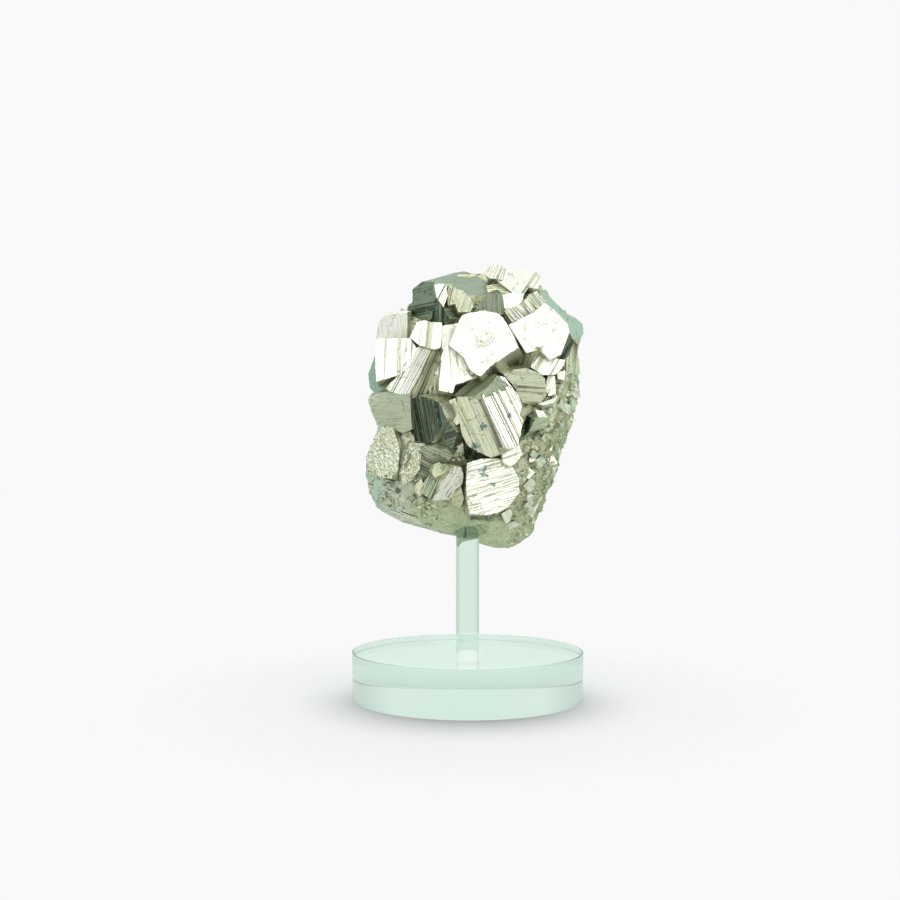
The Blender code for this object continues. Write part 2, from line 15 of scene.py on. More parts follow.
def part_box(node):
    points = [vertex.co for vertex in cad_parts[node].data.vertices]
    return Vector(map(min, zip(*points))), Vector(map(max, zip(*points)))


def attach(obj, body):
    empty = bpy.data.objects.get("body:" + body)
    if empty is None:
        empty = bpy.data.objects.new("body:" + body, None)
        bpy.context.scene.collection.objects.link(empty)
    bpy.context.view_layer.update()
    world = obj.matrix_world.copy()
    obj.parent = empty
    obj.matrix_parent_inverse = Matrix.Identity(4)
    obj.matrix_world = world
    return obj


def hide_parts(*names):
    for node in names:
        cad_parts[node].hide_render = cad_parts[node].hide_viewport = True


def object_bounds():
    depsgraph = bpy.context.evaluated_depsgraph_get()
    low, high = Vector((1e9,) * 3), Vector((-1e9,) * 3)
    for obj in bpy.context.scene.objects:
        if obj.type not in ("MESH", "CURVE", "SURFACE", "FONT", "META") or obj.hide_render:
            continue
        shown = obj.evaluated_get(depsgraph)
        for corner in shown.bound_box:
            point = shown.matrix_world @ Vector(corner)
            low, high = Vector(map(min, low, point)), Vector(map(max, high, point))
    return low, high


bl_info = {
    "name": "Pyrite specimen on an acrylic stand",
    "version": (1, 0, 0),
    "blender": (4, 5, 0),
    "location": "3D View > Sidebar > Pyrite specimen",
    "description": "Models a striated pyrite cluster, its acrylic rod and base, and the stage",
    "category": "Object",
}

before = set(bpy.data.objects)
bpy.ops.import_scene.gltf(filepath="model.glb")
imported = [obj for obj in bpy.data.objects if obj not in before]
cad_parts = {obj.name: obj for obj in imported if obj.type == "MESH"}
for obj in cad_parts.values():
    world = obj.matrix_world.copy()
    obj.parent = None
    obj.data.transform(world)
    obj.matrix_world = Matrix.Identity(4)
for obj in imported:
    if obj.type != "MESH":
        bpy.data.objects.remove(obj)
CAD_BOX = [list(corner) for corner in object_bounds()]

MM = 0.001

# The photograph was measured as it looks to an eye at this place, on the plane through the rod (mm)
EYE = (-7.65, -560.0, 107.0)
LENS = 51.52

ROCK_NODE = "pyrite_cluster"
ROD_NODE = "acrylic_rod"
BASE_NODE = "acrylic_base"

# Crystal faces: a point on the face across and up, where it looks (turned right, tipped up), the angle of
# its growth lines above horizontal, how deep they are (0 none, 1 fine, 2 strong) and its finish. The finish
# is partly the pyrite's own tone and partly painted light: white and cream on faces turned to the front hold
# painted highlight, dark and black on faces turned far aside, mostly left and down, painted reflection of
# dark surroundings
FACES = {
    "crown_top": ((-4, 180), (-4, 58), 2, 0, "matt"),
    "crown_left": ((-19.5, 172), (-38, 2), 3, 1, "dark"),
    "crown_front": ((8, 171), (-16, -8), 92, 2, "steel"),
    "nest_white": ((-12, 175), (8, 4), 62, 2, "white"),
    "nest_brass": ((-7, 175), (-12, 10), 80, 2, "brass"),
    "nest_right": ((-1.5, 171), (12, 8), 70, 1, "brass"),
    "nest_low": ((-12.5, 165), (-40, -6), 85, 1, "black"),
    "left_cap": ((-33, 161), (-6, -9), 92, 1, "white"),
    "left_cube": ((-32, 148), (-4, 3), 88, 1, "white"),
    "left_back_slab": ((-42, 140), (-42, 4), 80, 0, "mint"),
    "upper_cube": ((-17, 157), (2, 8), 84, 1, "white"),
    "hex_crystal": ((6, 155), (-9, 10), 38, 0, "white"),
    "white_slab": ((-6, 143), (3, 5), 96, 1, "white"),
    "between_cubes": ((-8, 158), (6, 14), 90, 0, "white"),
    "right_cube": ((33, 158), (8, 6), 52, 0, "white"),
    "right_low_white": ((35, 145), (5, 2), 60, 1, "white"),
    "olive_wedge": ((23, 146), (-36, -16), 55, 2, "olive"),
    "top_block": ((21, 181), (10, 14), 56, 1, "white"),
    "top_knob": ((11, 184.5), (-14, 8), 68, 2, "cream"),
    "below_knob": ((13, 177.5), (14, 30), 8, 1, "brass"),
    "top_low_white": ((20, 172.5), (6, 6), 70, 0, "white"),
    "striped_step": ((25, 169), (-6, 22), -55, 2, "cream"),
    "right_shoulder": ((43, 162), (26, 26), 50, 0, "mint"),
    "right_band": ((43.5, 151), (34, -22), 62, 2, "dark"),
    "right_edge_slab": ((46, 147), (40, 0), 80, 1, "pale"),
    "diagonal_slab": ((-25, 141), (8, -3), 62, 2, "white"),
    "diagonal_recess": ((-17, 141), (30, -14), 68, 2, "pale"),
    "dark_crystal": ((-18, 120), (-40, -8), 98, 2, "black"),
    "dark_wing": ((-10, 113), (-36, -18), 24, 2, "black"),
    "left_block": ((-33, 124), (-24, -10), 4, 0, "sage"),
    "rough_lump": ((-36, 106), (-18, 4), 70, 0, "rough"),
    "rough_prism_left": ((-27, 105), (-34, 12), 60, 1, "steel"),
    "rough_prism": ((-23, 102), (6, -4), 60, 0, "rough"),
    "striated_low": ((-14, 101), (-16, -24), -24, 2, "sage"),
    "roof_left": ((-15, 94), (-38, 2), 56, 2, "side"),
    "roof_right": ((-7, 94), (14, -6), 60, 1, "cream"),
    "mid_dark": ((-1, 108), (-44, -14), 52, 2, "black"),
    "prism_left": ((4, 118), (-21, -6), -64, 1, "pale"),
    "prism_right": ((15, 122), (22, 8), -63, 2, "white"),
    "prism_foot": ((19, 104.5), (8, 10), 20, 1, "white"),
    "prism_top": ((4, 134.5), (-42, 34), 30, 2, "sage"),
    "mid_pale": ((-7.5, 124), (-12, 2), 80, 1, "pale"),
    "striped_block": ((26, 134), (20, -14), -8, 1, "pale"),
    "low_cube": ((10, 91), (3, 3), 16, 1, "cream"),
    "dark_sliver": ((26, 117), (-46, -10), 66, 2, "black"),
    "pale_chip_a": ((32, 122.6), (18, 18), 30, 0, "cream"),
    "pale_chip_b": ((34.5, 128), (12, 24), 20, 0, "white"),
    "pale_chip_c": ((36.5, 135), (16, 2), 60, 1, "cream"),
    "pale_chip_d": ((40.5, 139.5), (10, 12), 60, 0, "white"),
    "low_left_chip": ((-21, 90), (-20, 6), 60, 1, "pale"),
    "low_mid_chip": ((-4.4, 85.6), (-12, -10), 30, 1, "olive"),
}
SIDE_FACES = 170
SIDE_LOOKS = ("side", "side", "side", "white", "pale", "cream", "olive", "sage")
SMALLEST_STRIATED = 14.0
GENTLE_ANGLES = (0.5, 36.0)
GENTLE_SHARE = 0.45
LARGEST_MASSIVE = 40.0
MASSIVE_CUTS = 4
SPECKLED_CUTS = 20
# Relief of the massive pyrite: where, kind of pattern, size and height (mm)
ROUGHNESS = (
    ("massive", "CLOUDS", 3.2, 0.9),
    ("granular", "VORONOI", 1.9, 0.9),
    ("massive", "CLOUDS", 0.9, 0.3),
    ("speckled", "CLOUDS", 1.3, 1.5),
    ("speckled", "VORONOI", 0.8, 0.7),
)
# The finishes are lit and shaded copies of the one pyrite, its own varied tone with painted highlight, reflection
# and shade in them
FINISHES = (
    "massive", "side", "white", "cream", "pale", "sage", "mint", "olive", "brass", "steel", "matt", "dark", "black",
    "rough",
)
RIDGE_WIDTH = {1: (0.5, 2.2), 2: (0.35, 1.2)}
RIDGE_GAP = {1: (0.3, 2.6), 2: (0.2, 0.7)}
RIDGE_HEIGHTS = {1: (0.06, 0.10, 0.16), 2: (0.14, 0.24, 0.38)}

# The grooves between ridges: how many are of another finish, and which. The other finish is painted shade
# in the grooves, and on the black faces a lighter one, painted glint
GROOVE_SHARE = {1: 0.2, 2: 0.35}
GROOVE_SHADE_AND_GLINT = {
    "white": "sage", "cream": "olive", "pale": "olive", "sage": "dark", "mint": "steel", "olive": "steel", "brass": "dark",
    "steel": "dark", "dark": "black", "black": "steel", "side": "olive", "rough": "dark",
}
# Faces whose grooves take another finish than their own: painted shade in the grooves
STRIPE_SHADE = {
    "nest_white": "black", "crown_front": "dark", "prism_top": "steel", "diagonal_slab": "dark",
    "diagonal_recess": "dark", "striped_step": "olive", "prism_right": "olive", "top_knob": "dark",
}

# Growth terraces, low flat mounds on the big faces: face, place across and up, radius, how many (mm)
TERRACES = (
    ("hex_crystal", (7.5, 155.5), 4.2, 3),
    ("hex_crystal", (5.5, 153.5), 2.0, 2),
    ("hex_crystal", (8.5, 157.5), 1.8, 2),
)
TERRACE_HEIGHT = 0.22
TERRACE_SLOPE = 0.3

# Which faces of the massive pyrite look to the front, the sides and the back: how far their normals point
# away from the eye, from and to, and how squarely the line of sight must meet them
FRONT = (-1.0, 0.35, 0.42)
SIDES = (-0.2, 0.32, 0.0)
BACK = (0.3, 1.0, 0.42)

DULL_LOOKS = ("massive",) * 13 + ("sage",) * 3 + ("pale",) * 2 + ("olive",) * 3 + ("cream",)
BRIGHT_LOOKS = ("cream", "white", "pale", "massive", "olive", "brass", "dark", "massive")

# Grains: where they sit as the eye sees it (left, low, right, high), which faces, how many, smallest and
# largest (mm), and their finishes
GRAIN_ZONES = (
    ((22, 84, 48, 138), FRONT, 460, (0.7, 2.3), DULL_LOOKS),
    ((24, 100, 52, 146), FRONT, 190, (0.9, 3.2), BRIGHT_LOOKS),
    ((18, 66, 40, 84), FRONT, 90, (0.6, 1.4), DULL_LOOKS),
    ((-16, 160, 6, 180), FRONT, 90, (0.9, 2.4), BRIGHT_LOOKS),
    ((-32, 84, -2, 104), FRONT, 130, (0.8, 1.7), BRIGHT_LOOKS),
    ((-46, 74, -4, 96), FRONT, 150, (0.7, 2.4), DULL_LOOKS),
    ((-44, 82, -18, 96), FRONT, 40, (0.9, 3.0), BRIGHT_LOOKS),
    ((10, 140, 50, 166), FRONT, 60, (0.9, 2.6), BRIGHT_LOOKS),
    ((-50, 80, 52, 184), SIDES, 330, (1.0, 3.0), DULL_LOOKS),
    ((-46, 76, 52, 184), BACK, 620, (2.0, 6.5), DULL_LOOKS),
)
ROD_CLEAR = 16.0
ROD_CLEAR_BELOW = 84.0
GRAIN_SINK = -0.38
GRAIN_LEAN = 0.3

# The comb of short ridges below the low cube: from, to, low and high (mm), and how many
COMB = (1.0, 15.0, 75.8, 78.8, 25)
COMB_DEPTH = 0.7

# Blue-green tarnish: where the eye sees it, across and up, and its radius (mm)
TARNISH_SPOTS = (
    (7.0, 96.8, 2.1), (7.3, 98.9, 1.2), (6.8, 117.4, 1.7), (3.6, 108.6, 1.5), (11.2, 92.0, 0.9), (-30.0, 141.0, 0.5),
    (26.5, 103.5, 1.0), (22.0, 100.0, 0.8), (-12.0, 119.0, 0.9), (-34.0, 83.0, 1.0), (18.2, 121.6, 1.4),
)
RECESS_REACH = 7.0
RECESS_RAYS = 12
GOLDEN_ANGLE = 2.39996
CLEARANCE = 0.12

BOND_GAP = 0.01 * MM

# Colours that the settings don't hold
TARNISH = (0.13, 0.245, 0.225)
CASTS = ((0.97, 1.01, 0.99), (1.01, 0.99, 0.93))
# Dark of the random pits, and of the painted shade in the recesses
PIT_AND_RECESS_SHADE = (0.085, 0.08, 0.042)
FLECK = (0.86, 0.86, 0.72)

# The massive pyrite turns cooler and paler towards its left flank, a painted mint sheen where the flank turns aside:
# colour, from and to (m), and how far
FLANK_SHEEN_TONE = (0.68, 0.83, 0.74)
FLANK_FROM = (-0.020, -0.038)
FLANK_SHARE = 0.75

# Cracks across the crystals: how far apart they run, and how crooked (mm)
CRACK_SIZE = 8.0
CRACK_WARP = 3.0

# Tone of the mint faces, which turn aside: a painted mint sheen
MINT_SHEEN_TONE = (0.42, 0.55, 0.47)
ACRYLIC_DEPTH = (0.45, 0.95, 0.72)

# The rod's foot, where it is bonded, is painted lighter and clearer: painted light for the light that the clear rod
# gathers there. Colour, and up to which height (m)
FOOT_PAINTED_LIGHT = (0.86, 0.935, 0.90)
FOOT = (0.0265, 0.0285)
BACKDROP = (0.947, 0.947, 0.947)
BEHIND = (0.76, 0.92, 0.84)
BEHIND_FROM = (-0.6, 0.3)
BESIDE_FROM = (0.75, 1.0)
BENT_FROM = (0.45, 0.9)
BENT_SHADE = 0.7
WORLD_LEVELS = (0.62, 1.0)
FLOOR_GLOW = 0.50
UNDER_GLOW = 1.03
UNDER_BASE = (0.0488, 0.0499)
FLOOR_FADE = (0.075, 0.16)

# The soft shadow at the foot of the base: its middle, where it is deepest and ends (m), and how deep
SHADOW_MIDDLE = (0.0, -0.014, 0.0)
SHADOW_FROM = (0.035, 0.080)
SHADOW_DEPTH = 0.42

# Soft lamps: name, place, width and height (m), power (W)
LAMPS = (
    ("front", (-0.1, -1.7, 0.5), (1.5, 1.1), 5.2),
    ("right", (1.35, -1.2, 0.75), (1.0, 1.1), 5),
    ("top", (0.0, -0.1, 2.0), (1.6, 1.6), 10),
    ("back", (0.2, 1.5, 1.35), (1.4, 0.8), 8),
)


def looking(turn, tip):
    """The direction a face looks: degrees to the right of the eye, and up."""
    turn, tip = math.radians(turn), math.radians(tip)
    return Vector((math.sin(turn) * math.cos(tip), -math.cos(turn) * math.cos(tip), math.sin(tip)))


def seen_at(point):
    """Where the eye sees a point (m), across and up on the measuring plane (mm)."""
    place = point / MM
    share = -EYE[1] / (place.y - EYE[1])
    return EYE[0] + (place.x - EYE[0]) * share, EYE[2] + (place.z - EYE[2]) * share


def only(obj):
    """Selects one object alone and makes it active."""
    bpy.ops.object.select_all(action="DESELECT")
    obj.select_set(True)
    bpy.context.view_layer.objects.active = obj


def edit_mesh(obj):
    """The mesh being edited, with its lists ready."""
    bm = bmesh.from_edit_mesh(obj.data)
    bm.verts.ensure_lookup_table()
    bm.edges.ensure_lookup_table()
    bm.faces.ensure_lookup_table()
    return bm


def select_faces(obj, wanted):
    """Selects the shown faces for which wanted is true, and returns how many."""
    bpy.ops.mesh.select_all(action="DESELECT")
    bm = edit_mesh(obj)
    count = 0
    for face in bm.faces:
        if not face.hide and wanted(face):
            face.select_set(True)
            count += 1
    bm.select_flush_mode()
    bmesh.update_edit_mesh(obj.data, loop_triangles=False, destructive=False)
    return count


def node_copy(node, name):
    """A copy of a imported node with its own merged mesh."""
    only(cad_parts[node])
    bpy.ops.object.duplicate()
    obj = bpy.context.object
    obj.parent = None
    obj.name = obj.data.name = name
    for key in list(obj.keys()):
        if key.startswith("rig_"):
            del obj[key]
    bpy.ops.object.mode_set(mode="EDIT")
    bpy.ops.mesh.select_mode(type="FACE")
    bpy.ops.mesh.select_all(action="SELECT")
    bpy.ops.mesh.remove_doubles(threshold=1e-6)
    bpy.ops.mesh.dissolve_limited(angle_limit=math.radians(0.7))
    bpy.ops.object.mode_set(mode="OBJECT")
    return obj


def set_lines(obj, faces, line, across, shift):
    """Lays the growth-line map on faces: across the lines, then along them, in millimetres."""
    bm = edit_mesh(obj)
    layer = bm.loops.layers.uv["lines"]
    for face in faces:
        for loop in face.loops:
            place = loop.vert.co / MM
            loop[layer].uv = (place.dot(across) + shift, place.dot(line) + shift)


def raise_ridges(obj, normal, across, low, high, depth, groove, rng):
    """Cuts the selected faces into strips across their growth lines, and raises some as ridges."""
    bpy.ops.mesh.hide(unselected=True)
    strips = []
    at = low + rng.uniform(*RIDGE_GAP[depth])
    while at < high:
        width = rng.uniform(*RIDGE_WIDTH[depth]) * rng.choice((0.6, 1, 1.5))
        strips.append((at, min(at + width, high), rng.choice(RIDGE_HEIGHTS[depth])))
        at += width + rng.uniform(*RIDGE_GAP[depth]) * rng.choice((0.7, 1, 1.8))
    for start, end, _ in strips:
        for cut in (start, end):
            bpy.ops.mesh.select_all(action="SELECT")
            bpy.ops.mesh.bisect(plane_co=across * cut * MM, plane_no=across)
    bpy.ops.mesh.select_mode(type="FACE")
    # Painted shade: some grooves between the ridges take a darker finish (a lighter one on black faces, painted
    # glint)
    if groove is not None:
        ends = [(end, start) for (_, end, _), (start, _, _) in zip(strips, strips[1:])]
        dark = [pair for pair in ends if rng.random() < GROOVE_SHARE[depth]]
        bm = edit_mesh(obj)
        for face in bm.faces:
            if not face.hide and face.normal.dot(normal) > 0.999:
                place = face.calc_center_median().dot(across) / MM
                if any(s < place < e for s, e in dark):
                    face.material_index = FINISHES.index(groove)
        bmesh.update_edit_mesh(obj.data, loop_triangles=False, destructive=False)
    for height in RIDGE_HEIGHTS[depth]:
        chosen = [(s, e) for s, e, h in strips if h == height]

        def on_strip(face):
            place = face.calc_center_median().dot(across) / MM
            return face.normal.dot(normal) > 0.999 and any(s < place < e for s, e in chosen)

        if select_faces(obj, on_strip):
            bpy.ops.mesh.extrude_region_move(TRANSFORM_OT_translate={"value": normal * height * MM})
    bpy.ops.mesh.reveal(select=False)


def dress_crystal_faces(obj, rng):
    """Gives each measured crystal face its finish, its line map and its ridges."""
    for name, ((at_across, at_up), (turn, tip), angle, depth, finish) in FACES.items():
        normal = looking(turn, tip)
        line = Vector((math.cos(math.radians(angle)), 0, math.sin(math.radians(angle))))
        line = (line - normal * line.dot(normal)).normalized()
        across = normal.cross(line)

        def on_face(face):
            if face.normal.dot(normal) < 0.9995:
                return False
            seen = seen_at(face.calc_center_median())
            return math.dist(seen, (at_across, at_up)) < 16

        if not select_faces(obj, on_face):
            print("no face found for", name)
            continue
        bm = edit_mesh(obj)
        faces = [f for f in bm.faces if f.select]
        for face in faces:
            face.material_index = FINISHES.index(finish)
        set_lines(obj, faces, line, across, rng.uniform(0, 50))
        reach = [v.co.dot(across) / MM for f in faces for v in f.verts]
        if depth:
            groove = STRIPE_SHADE.get(name, GROOVE_SHADE_AND_GLINT.get(finish))
            raise_ridges(obj, normal, across, min(reach), max(reach), depth, groove, rng)


def dress_other_faces(obj, rng):
    """Gives the flat faces of the sides and back growth lines of their own, along their longest edge."""
    done = 0
    while done < SIDE_FACES:
        bm = edit_mesh(obj)
        layer = bm.faces.layers.int["dressed"]
        left = [f for f in bm.faces if f.material_index == 1 and not f[layer]]
        if not left:
            break
        face = max(left, key=lambda f: f.calc_area())
        if face.calc_area() < SMALLEST_STRIATED * MM * MM:
            break
        face[layer] = 1
        normal = face.normal.copy()
        longest = max(face.edges, key=lambda e: e.calc_length())
        line = (longest.verts[1].co - longest.verts[0].co).normalized()
        across = normal.cross(line)
        bpy.ops.mesh.select_all(action="DESELECT")
        face.select_set(True)
        bmesh.update_edit_mesh(obj.data, loop_triangles=False, destructive=False)
        set_lines(obj, [face], line, across, rng.uniform(0, 50))
        reach = [v.co.dot(across) / MM for v in face.verts]
        look = rng.choice(SIDE_LOOKS)
        face = next(f for f in edit_mesh(obj).faces if f.select)
        face.material_index = FINISHES.index(look)
        raise_ridges(obj, normal, across, min(reach), max(reach), 1, GROOVE_SHADE_AND_GLINT.get(look), rng)
        done += 1


def find_massive(obj):
    """Tells the massive pyrite from flat crystal faces: its faces meet their neighbours at gentle angles."""
    bm = edit_mesh(obj)
    low, high = (math.radians(t) for t in GENTLE_ANGLES)
    for face in bm.faces:
        gentle = [e for e in face.edges if e.is_manifold and low < e.calc_face_angle() < high]
        share = sum(e.calc_length() for e in gentle) / sum(e.calc_length() for e in face.edges)
        massive = share > GENTLE_SHARE and face.calc_area() < LARGEST_MASSIVE * MM * MM
        face.material_index = 0 if massive else 1
        face.smooth = massive
    bmesh.update_edit_mesh(obj.data)


def roughen_massive(obj):
    """Divides the massive and speckled pyrite finely and gives them lumps, grains and pits."""
    speckled_look = FINISHES.index("rough")
    for look, cuts in ((0, MASSIVE_CUTS), (speckled_look, SPECKLED_CUTS)):
        select_faces(obj, lambda f: f.material_index == look)
        bpy.ops.mesh.quads_convert_to_tris()
        bpy.ops.mesh.subdivide(number_cuts=cuts)
    bpy.ops.object.mode_set(mode="OBJECT")
    mesh = obj.data
    free = set(range(len(mesh.vertices)))
    speckled = set()
    for face in mesh.polygons:
        if face.material_index == speckled_look:
            speckled.update(face.vertices)
        elif face.material_index != 0:
            free.difference_update(face.vertices)
    speckled &= free
    free -= speckled
    fine = obj.vertex_groups.new(name="speckled")
    fine.add(sorted(speckled), 1.0, "REPLACE")
    lumps = obj.vertex_groups.new(name="massive")
    grains = obj.vertex_groups.new(name="granular")
    for i in sorted(free):
        lumps.add([i], 1.0, "REPLACE")
        place = mesh.vertices[i].co
        grainy = 0.25 + max(0.0, noise.noise(place / (11 * MM)) * 2.0)
        if seen_at(place)[0] > 20:
            grainy += 0.5
        grains.add([i], min(grainy, 1.0), "REPLACE")
    for group, kind, size, height in ROUGHNESS:
        texture = bpy.data.textures.new(f"{group} {kind}", kind)
        texture.noise_scale = size * MM
        if kind == "VORONOI":
            texture.distance_metric = "CHEBYCHEV"
            texture.noise_intensity = 1.2
        modifier = obj.modifiers.new("Rough", "DISPLACE")
        modifier.texture = texture
        modifier.texture_coords = "LOCAL"
        modifier.vertex_group = group
        modifier.mid_level = 0.5
        modifier.strength = height * MM
        bpy.ops.object.modifier_apply(modifier=modifier.name)


def model_grain():
    """One small blocky crystal, a cube with cut edges and one stepped side."""
    bpy.ops.mesh.primitive_cube_add(size=1, location=(0, 0, 0))
    grain = bpy.context.object
    bpy.ops.object.mode_set(mode="EDIT")
    bpy.ops.mesh.select_mode(type="FACE")
    select_faces(grain, lambda f: f.normal.z > 0.9)
    bpy.ops.mesh.inset(thickness=0.16)
    bpy.ops.mesh.extrude_region_move(TRANSFORM_OT_translate={"value": (0, 0, 0.1)})
    bpy.ops.mesh.select_all(action="SELECT")
    bpy.ops.mesh.bisect(
        plane_co=(0.33, 0.33, 0.33), plane_no=(1, 1, 1), use_fill=True, clear_outer=True
    )
    bpy.ops.object.mode_set(mode="OBJECT")
    return grain


def scatter_grains(obj, rng):
    """Sets small crystals into the massive pyrite, thickest where the photograph is granular."""
    faces = [f for f in obj.data.polygons if f.material_index == 0]
    points = obj.data.vertices
    grain = model_grain()
    bm = bmesh.new()
    finish = FINISHES.index
    for (left, low, right, high), (least, most, facing), count, sizes, looks in GRAIN_ZONES:
        near = []
        for face in faces:
            place = face.center / MM
            across, up = seen_at(face.center)
            sight = (face.center - Vector(EYE) * MM).normalized()
            turned = least < face.normal.y < most and abs(sight.dot(face.normal)) > facing
            by_rod = place.z < ROD_CLEAR_BELOW and math.hypot(place.x, place.y) < ROD_CLEAR
            if left < across < right and low < up < high and turned and not by_rod:
                near.append(face)
        if not near:
            continue
        weights = [f.area for f in near]
        for face in rng.choices(near, weights, k=count):
            corners = [points[i].co for i in face.vertices[:3]]
            shares = [rng.random() + 0.01 for _ in corners]
            place = sum((c * s for c, s in zip(corners, shares)), Vector()) / sum(shares)
            if place.z > CAD_BOX[1][2] - 6 * MM:
                continue
            size = rng.uniform(*sizes) * rng.choice((0.7, 1, 1)) * MM
            lean = Vector([rng.gauss(0, GRAIN_LEAN) for _ in range(3)])
            up = (face.normal + lean).normalized()
            turned = up.to_track_quat("Z", "X") @ Vector((0, 0, 1)).rotation_difference(
                Vector((rng.gauss(0, 0.2), rng.gauss(0, 0.2), 1)).normalized()
            )
            kept = set(bm.verts)
            bm.from_mesh(grain.data)
            new = [v for v in bm.verts if v not in kept]
            stretch = [rng.uniform(0.7, 1.25) for _ in range(3)]
            spin = rng.uniform(0, math.tau)
            for vert in new:
                x, y, z = (c * s for c, s in zip(vert.co, stretch))
                x, y = x * math.cos(spin) - y * math.sin(spin), x * math.sin(spin) + y * math.cos(spin)
                vert.co = place + turned @ Vector((x, y, z + GRAIN_SINK)) * size
            look = finish(rng.choice(looks))
            for found in {f for v in new for f in v.link_faces}:
                found.material_index = look
    bpy.data.objects.remove(grain)
    mesh = bpy.data.meshes.new("small_pyrite_crystals")
    bm.to_mesh(mesh)
    bm.free()
    grains = bpy.data.objects.new("small_pyrite_crystals", mesh)
    bpy.context.scene.collection.objects.link(grains)
    return grains


def hit_at(surface, across, up):
    """The point of a surface that the eye sees at a place, and its normal."""
    eye = Vector(EYE) * MM
    sight = (Vector((across, 0, up)) * MM - eye).normalized()
    return surface.ray_cast(eye, sight)[:2]


def add_comb(obj, rng):
    """The comb of short upright ridges on the massive pyrite below the low cube."""
    surface = BVHTree.FromObject(obj, bpy.context.evaluated_depsgraph_get())
    left, right, low, high, count = COMB
    teeth = []
    bpy.ops.object.select_all(action="DESELECT")
    bpy.ops.mesh.primitive_cube_add(size=1, location=(0, 0, 0))
    pattern = bpy.context.object
    bpy.ops.object.mode_set(mode="EDIT")
    bpy.ops.mesh.select_mode(type="FACE")
    select_faces(pattern, lambda f: f.normal.y < -0.9)
    bpy.ops.transform.resize(value=(0.3, 1, 0.8))
    bpy.ops.object.mode_set(mode="OBJECT")
    for i in range(count):
        across = left + (right - left) * (i + rng.uniform(0.2, 0.8)) / count
        bottom, _ = hit_at(surface, across, low + rng.uniform(0, 0.8))
        top, _ = hit_at(surface, across, high)
        tooth = bpy.data.objects.new("tooth", pattern.data.copy())
        bpy.context.scene.collection.objects.link(tooth)
        along = (top - bottom).normalized()
        out = Vector((1, 0, 0)).cross(along)
        width = (right - left) / count * rng.uniform(0.5, 0.85) * MM
        turned = Matrix((Vector((1, 0, 0)), -out, along)).transposed()
        size = Matrix.Diagonal((width, COMB_DEPTH * MM, (top - bottom).length))
        tooth.data.transform((turned @ size).to_4x4())
        tooth.data.transform(Matrix.Translation((top + bottom) / 2))
        teeth.append(tooth)
    bpy.data.objects.remove(pattern)
    comb = join(teeth, "comb")
    for face in comb.data.polygons:
        face.material_index = FINISHES.index("sage")
    return comb


def add_terraces(obj, rng):
    """Growth terraces: thin irregular plates, each on the one below, as closed slabs of their own."""
    surface = BVHTree.FromObject(obj, bpy.context.evaluated_depsgraph_get())
    bm = bmesh.new()
    for name, (across, up), radius, count in TERRACES:
        turn, tip = FACES[name][1]
        normal = looking(turn, tip)
        place, found = hit_at(surface, across, up)
        if found.dot(normal) < 0.99:
            continue
        side = normal.orthogonal().normalized()
        other = normal.cross(side)
        start, corners = rng.uniform(0, math.tau), rng.randint(7, 11)
        wobble = [rng.uniform(0.75, 1.15) for _ in range(corners)]
        for level in range(count):
            size = radius * (1 - level / (count + 0.6))
            ring = []
            for i, stretch in enumerate(wobble):
                angle = start + math.tau * i / corners + 0.2 * level
                arm = side * math.cos(angle) + other * math.sin(angle) * 0.8
                ring.append(place + arm * size * stretch * MM + normal * (level + 1) * TERRACE_HEIGHT * MM)
            top = bm.faces.new([bm.verts.new(c) for c in ring])
            top.material_index = FINISHES.index(FACES[name][-1])
            made = bmesh.ops.extrude_face_region(bm, geom=[top])["geom"]
            root = [v for v in made if isinstance(v, bmesh.types.BMVert)]
            bmesh.ops.translate(bm, vec=-normal * TERRACE_HEIGHT * 2 * MM, verts=root)
            for vert in root:
                arm = vert.co - place
                vert.co += (arm - normal * arm.dot(normal)).normalized() * TERRACE_SLOPE * 2 * MM
            # Painted shade: the plates' sides take the darker sage finish, so that their edges show
            for face in {f for v in root for f in v.link_faces}:
                face.material_index = FINISHES.index("sage")
    bmesh.ops.recalc_face_normals(bm, faces=bm.faces)
    mesh = bpy.data.meshes.new("terraces")
    bm.to_mesh(mesh)
    bm.free()
    plates = bpy.data.objects.new("terraces", mesh)
    bpy.context.scene.collection.objects.link(plates)
    return plates


def lay_lines(obj):
    """Lays the growth-line map on every face of a small piece, along its longest edge."""
    mesh = obj.data
    layer = mesh.uv_layers.get("lines") or mesh.uv_layers.new(name="lines")
    for face in mesh.polygons:
        corners = [mesh.vertices[i].co for i in face.vertices]
        sides = [b - a for a, b in zip(corners, corners[1:] + corners[:1])]
        line = max(sides, key=lambda side: side.length).normalized()
        across = face.normal.cross(line)
        for loop, corner in zip(face.loop_indices, corners):
            layer.data[loop].uv = (corner.dot(across) / MM, corner.dot(line) / MM)


def join(parts, name):
    """Joins objects into the first of them."""
    only(parts[0])
    for part in parts[1:]:
        part.select_set(True)
    bpy.ops.object.join()
    joined = bpy.context.object
    joined.name = joined.data.name = name
    return joined


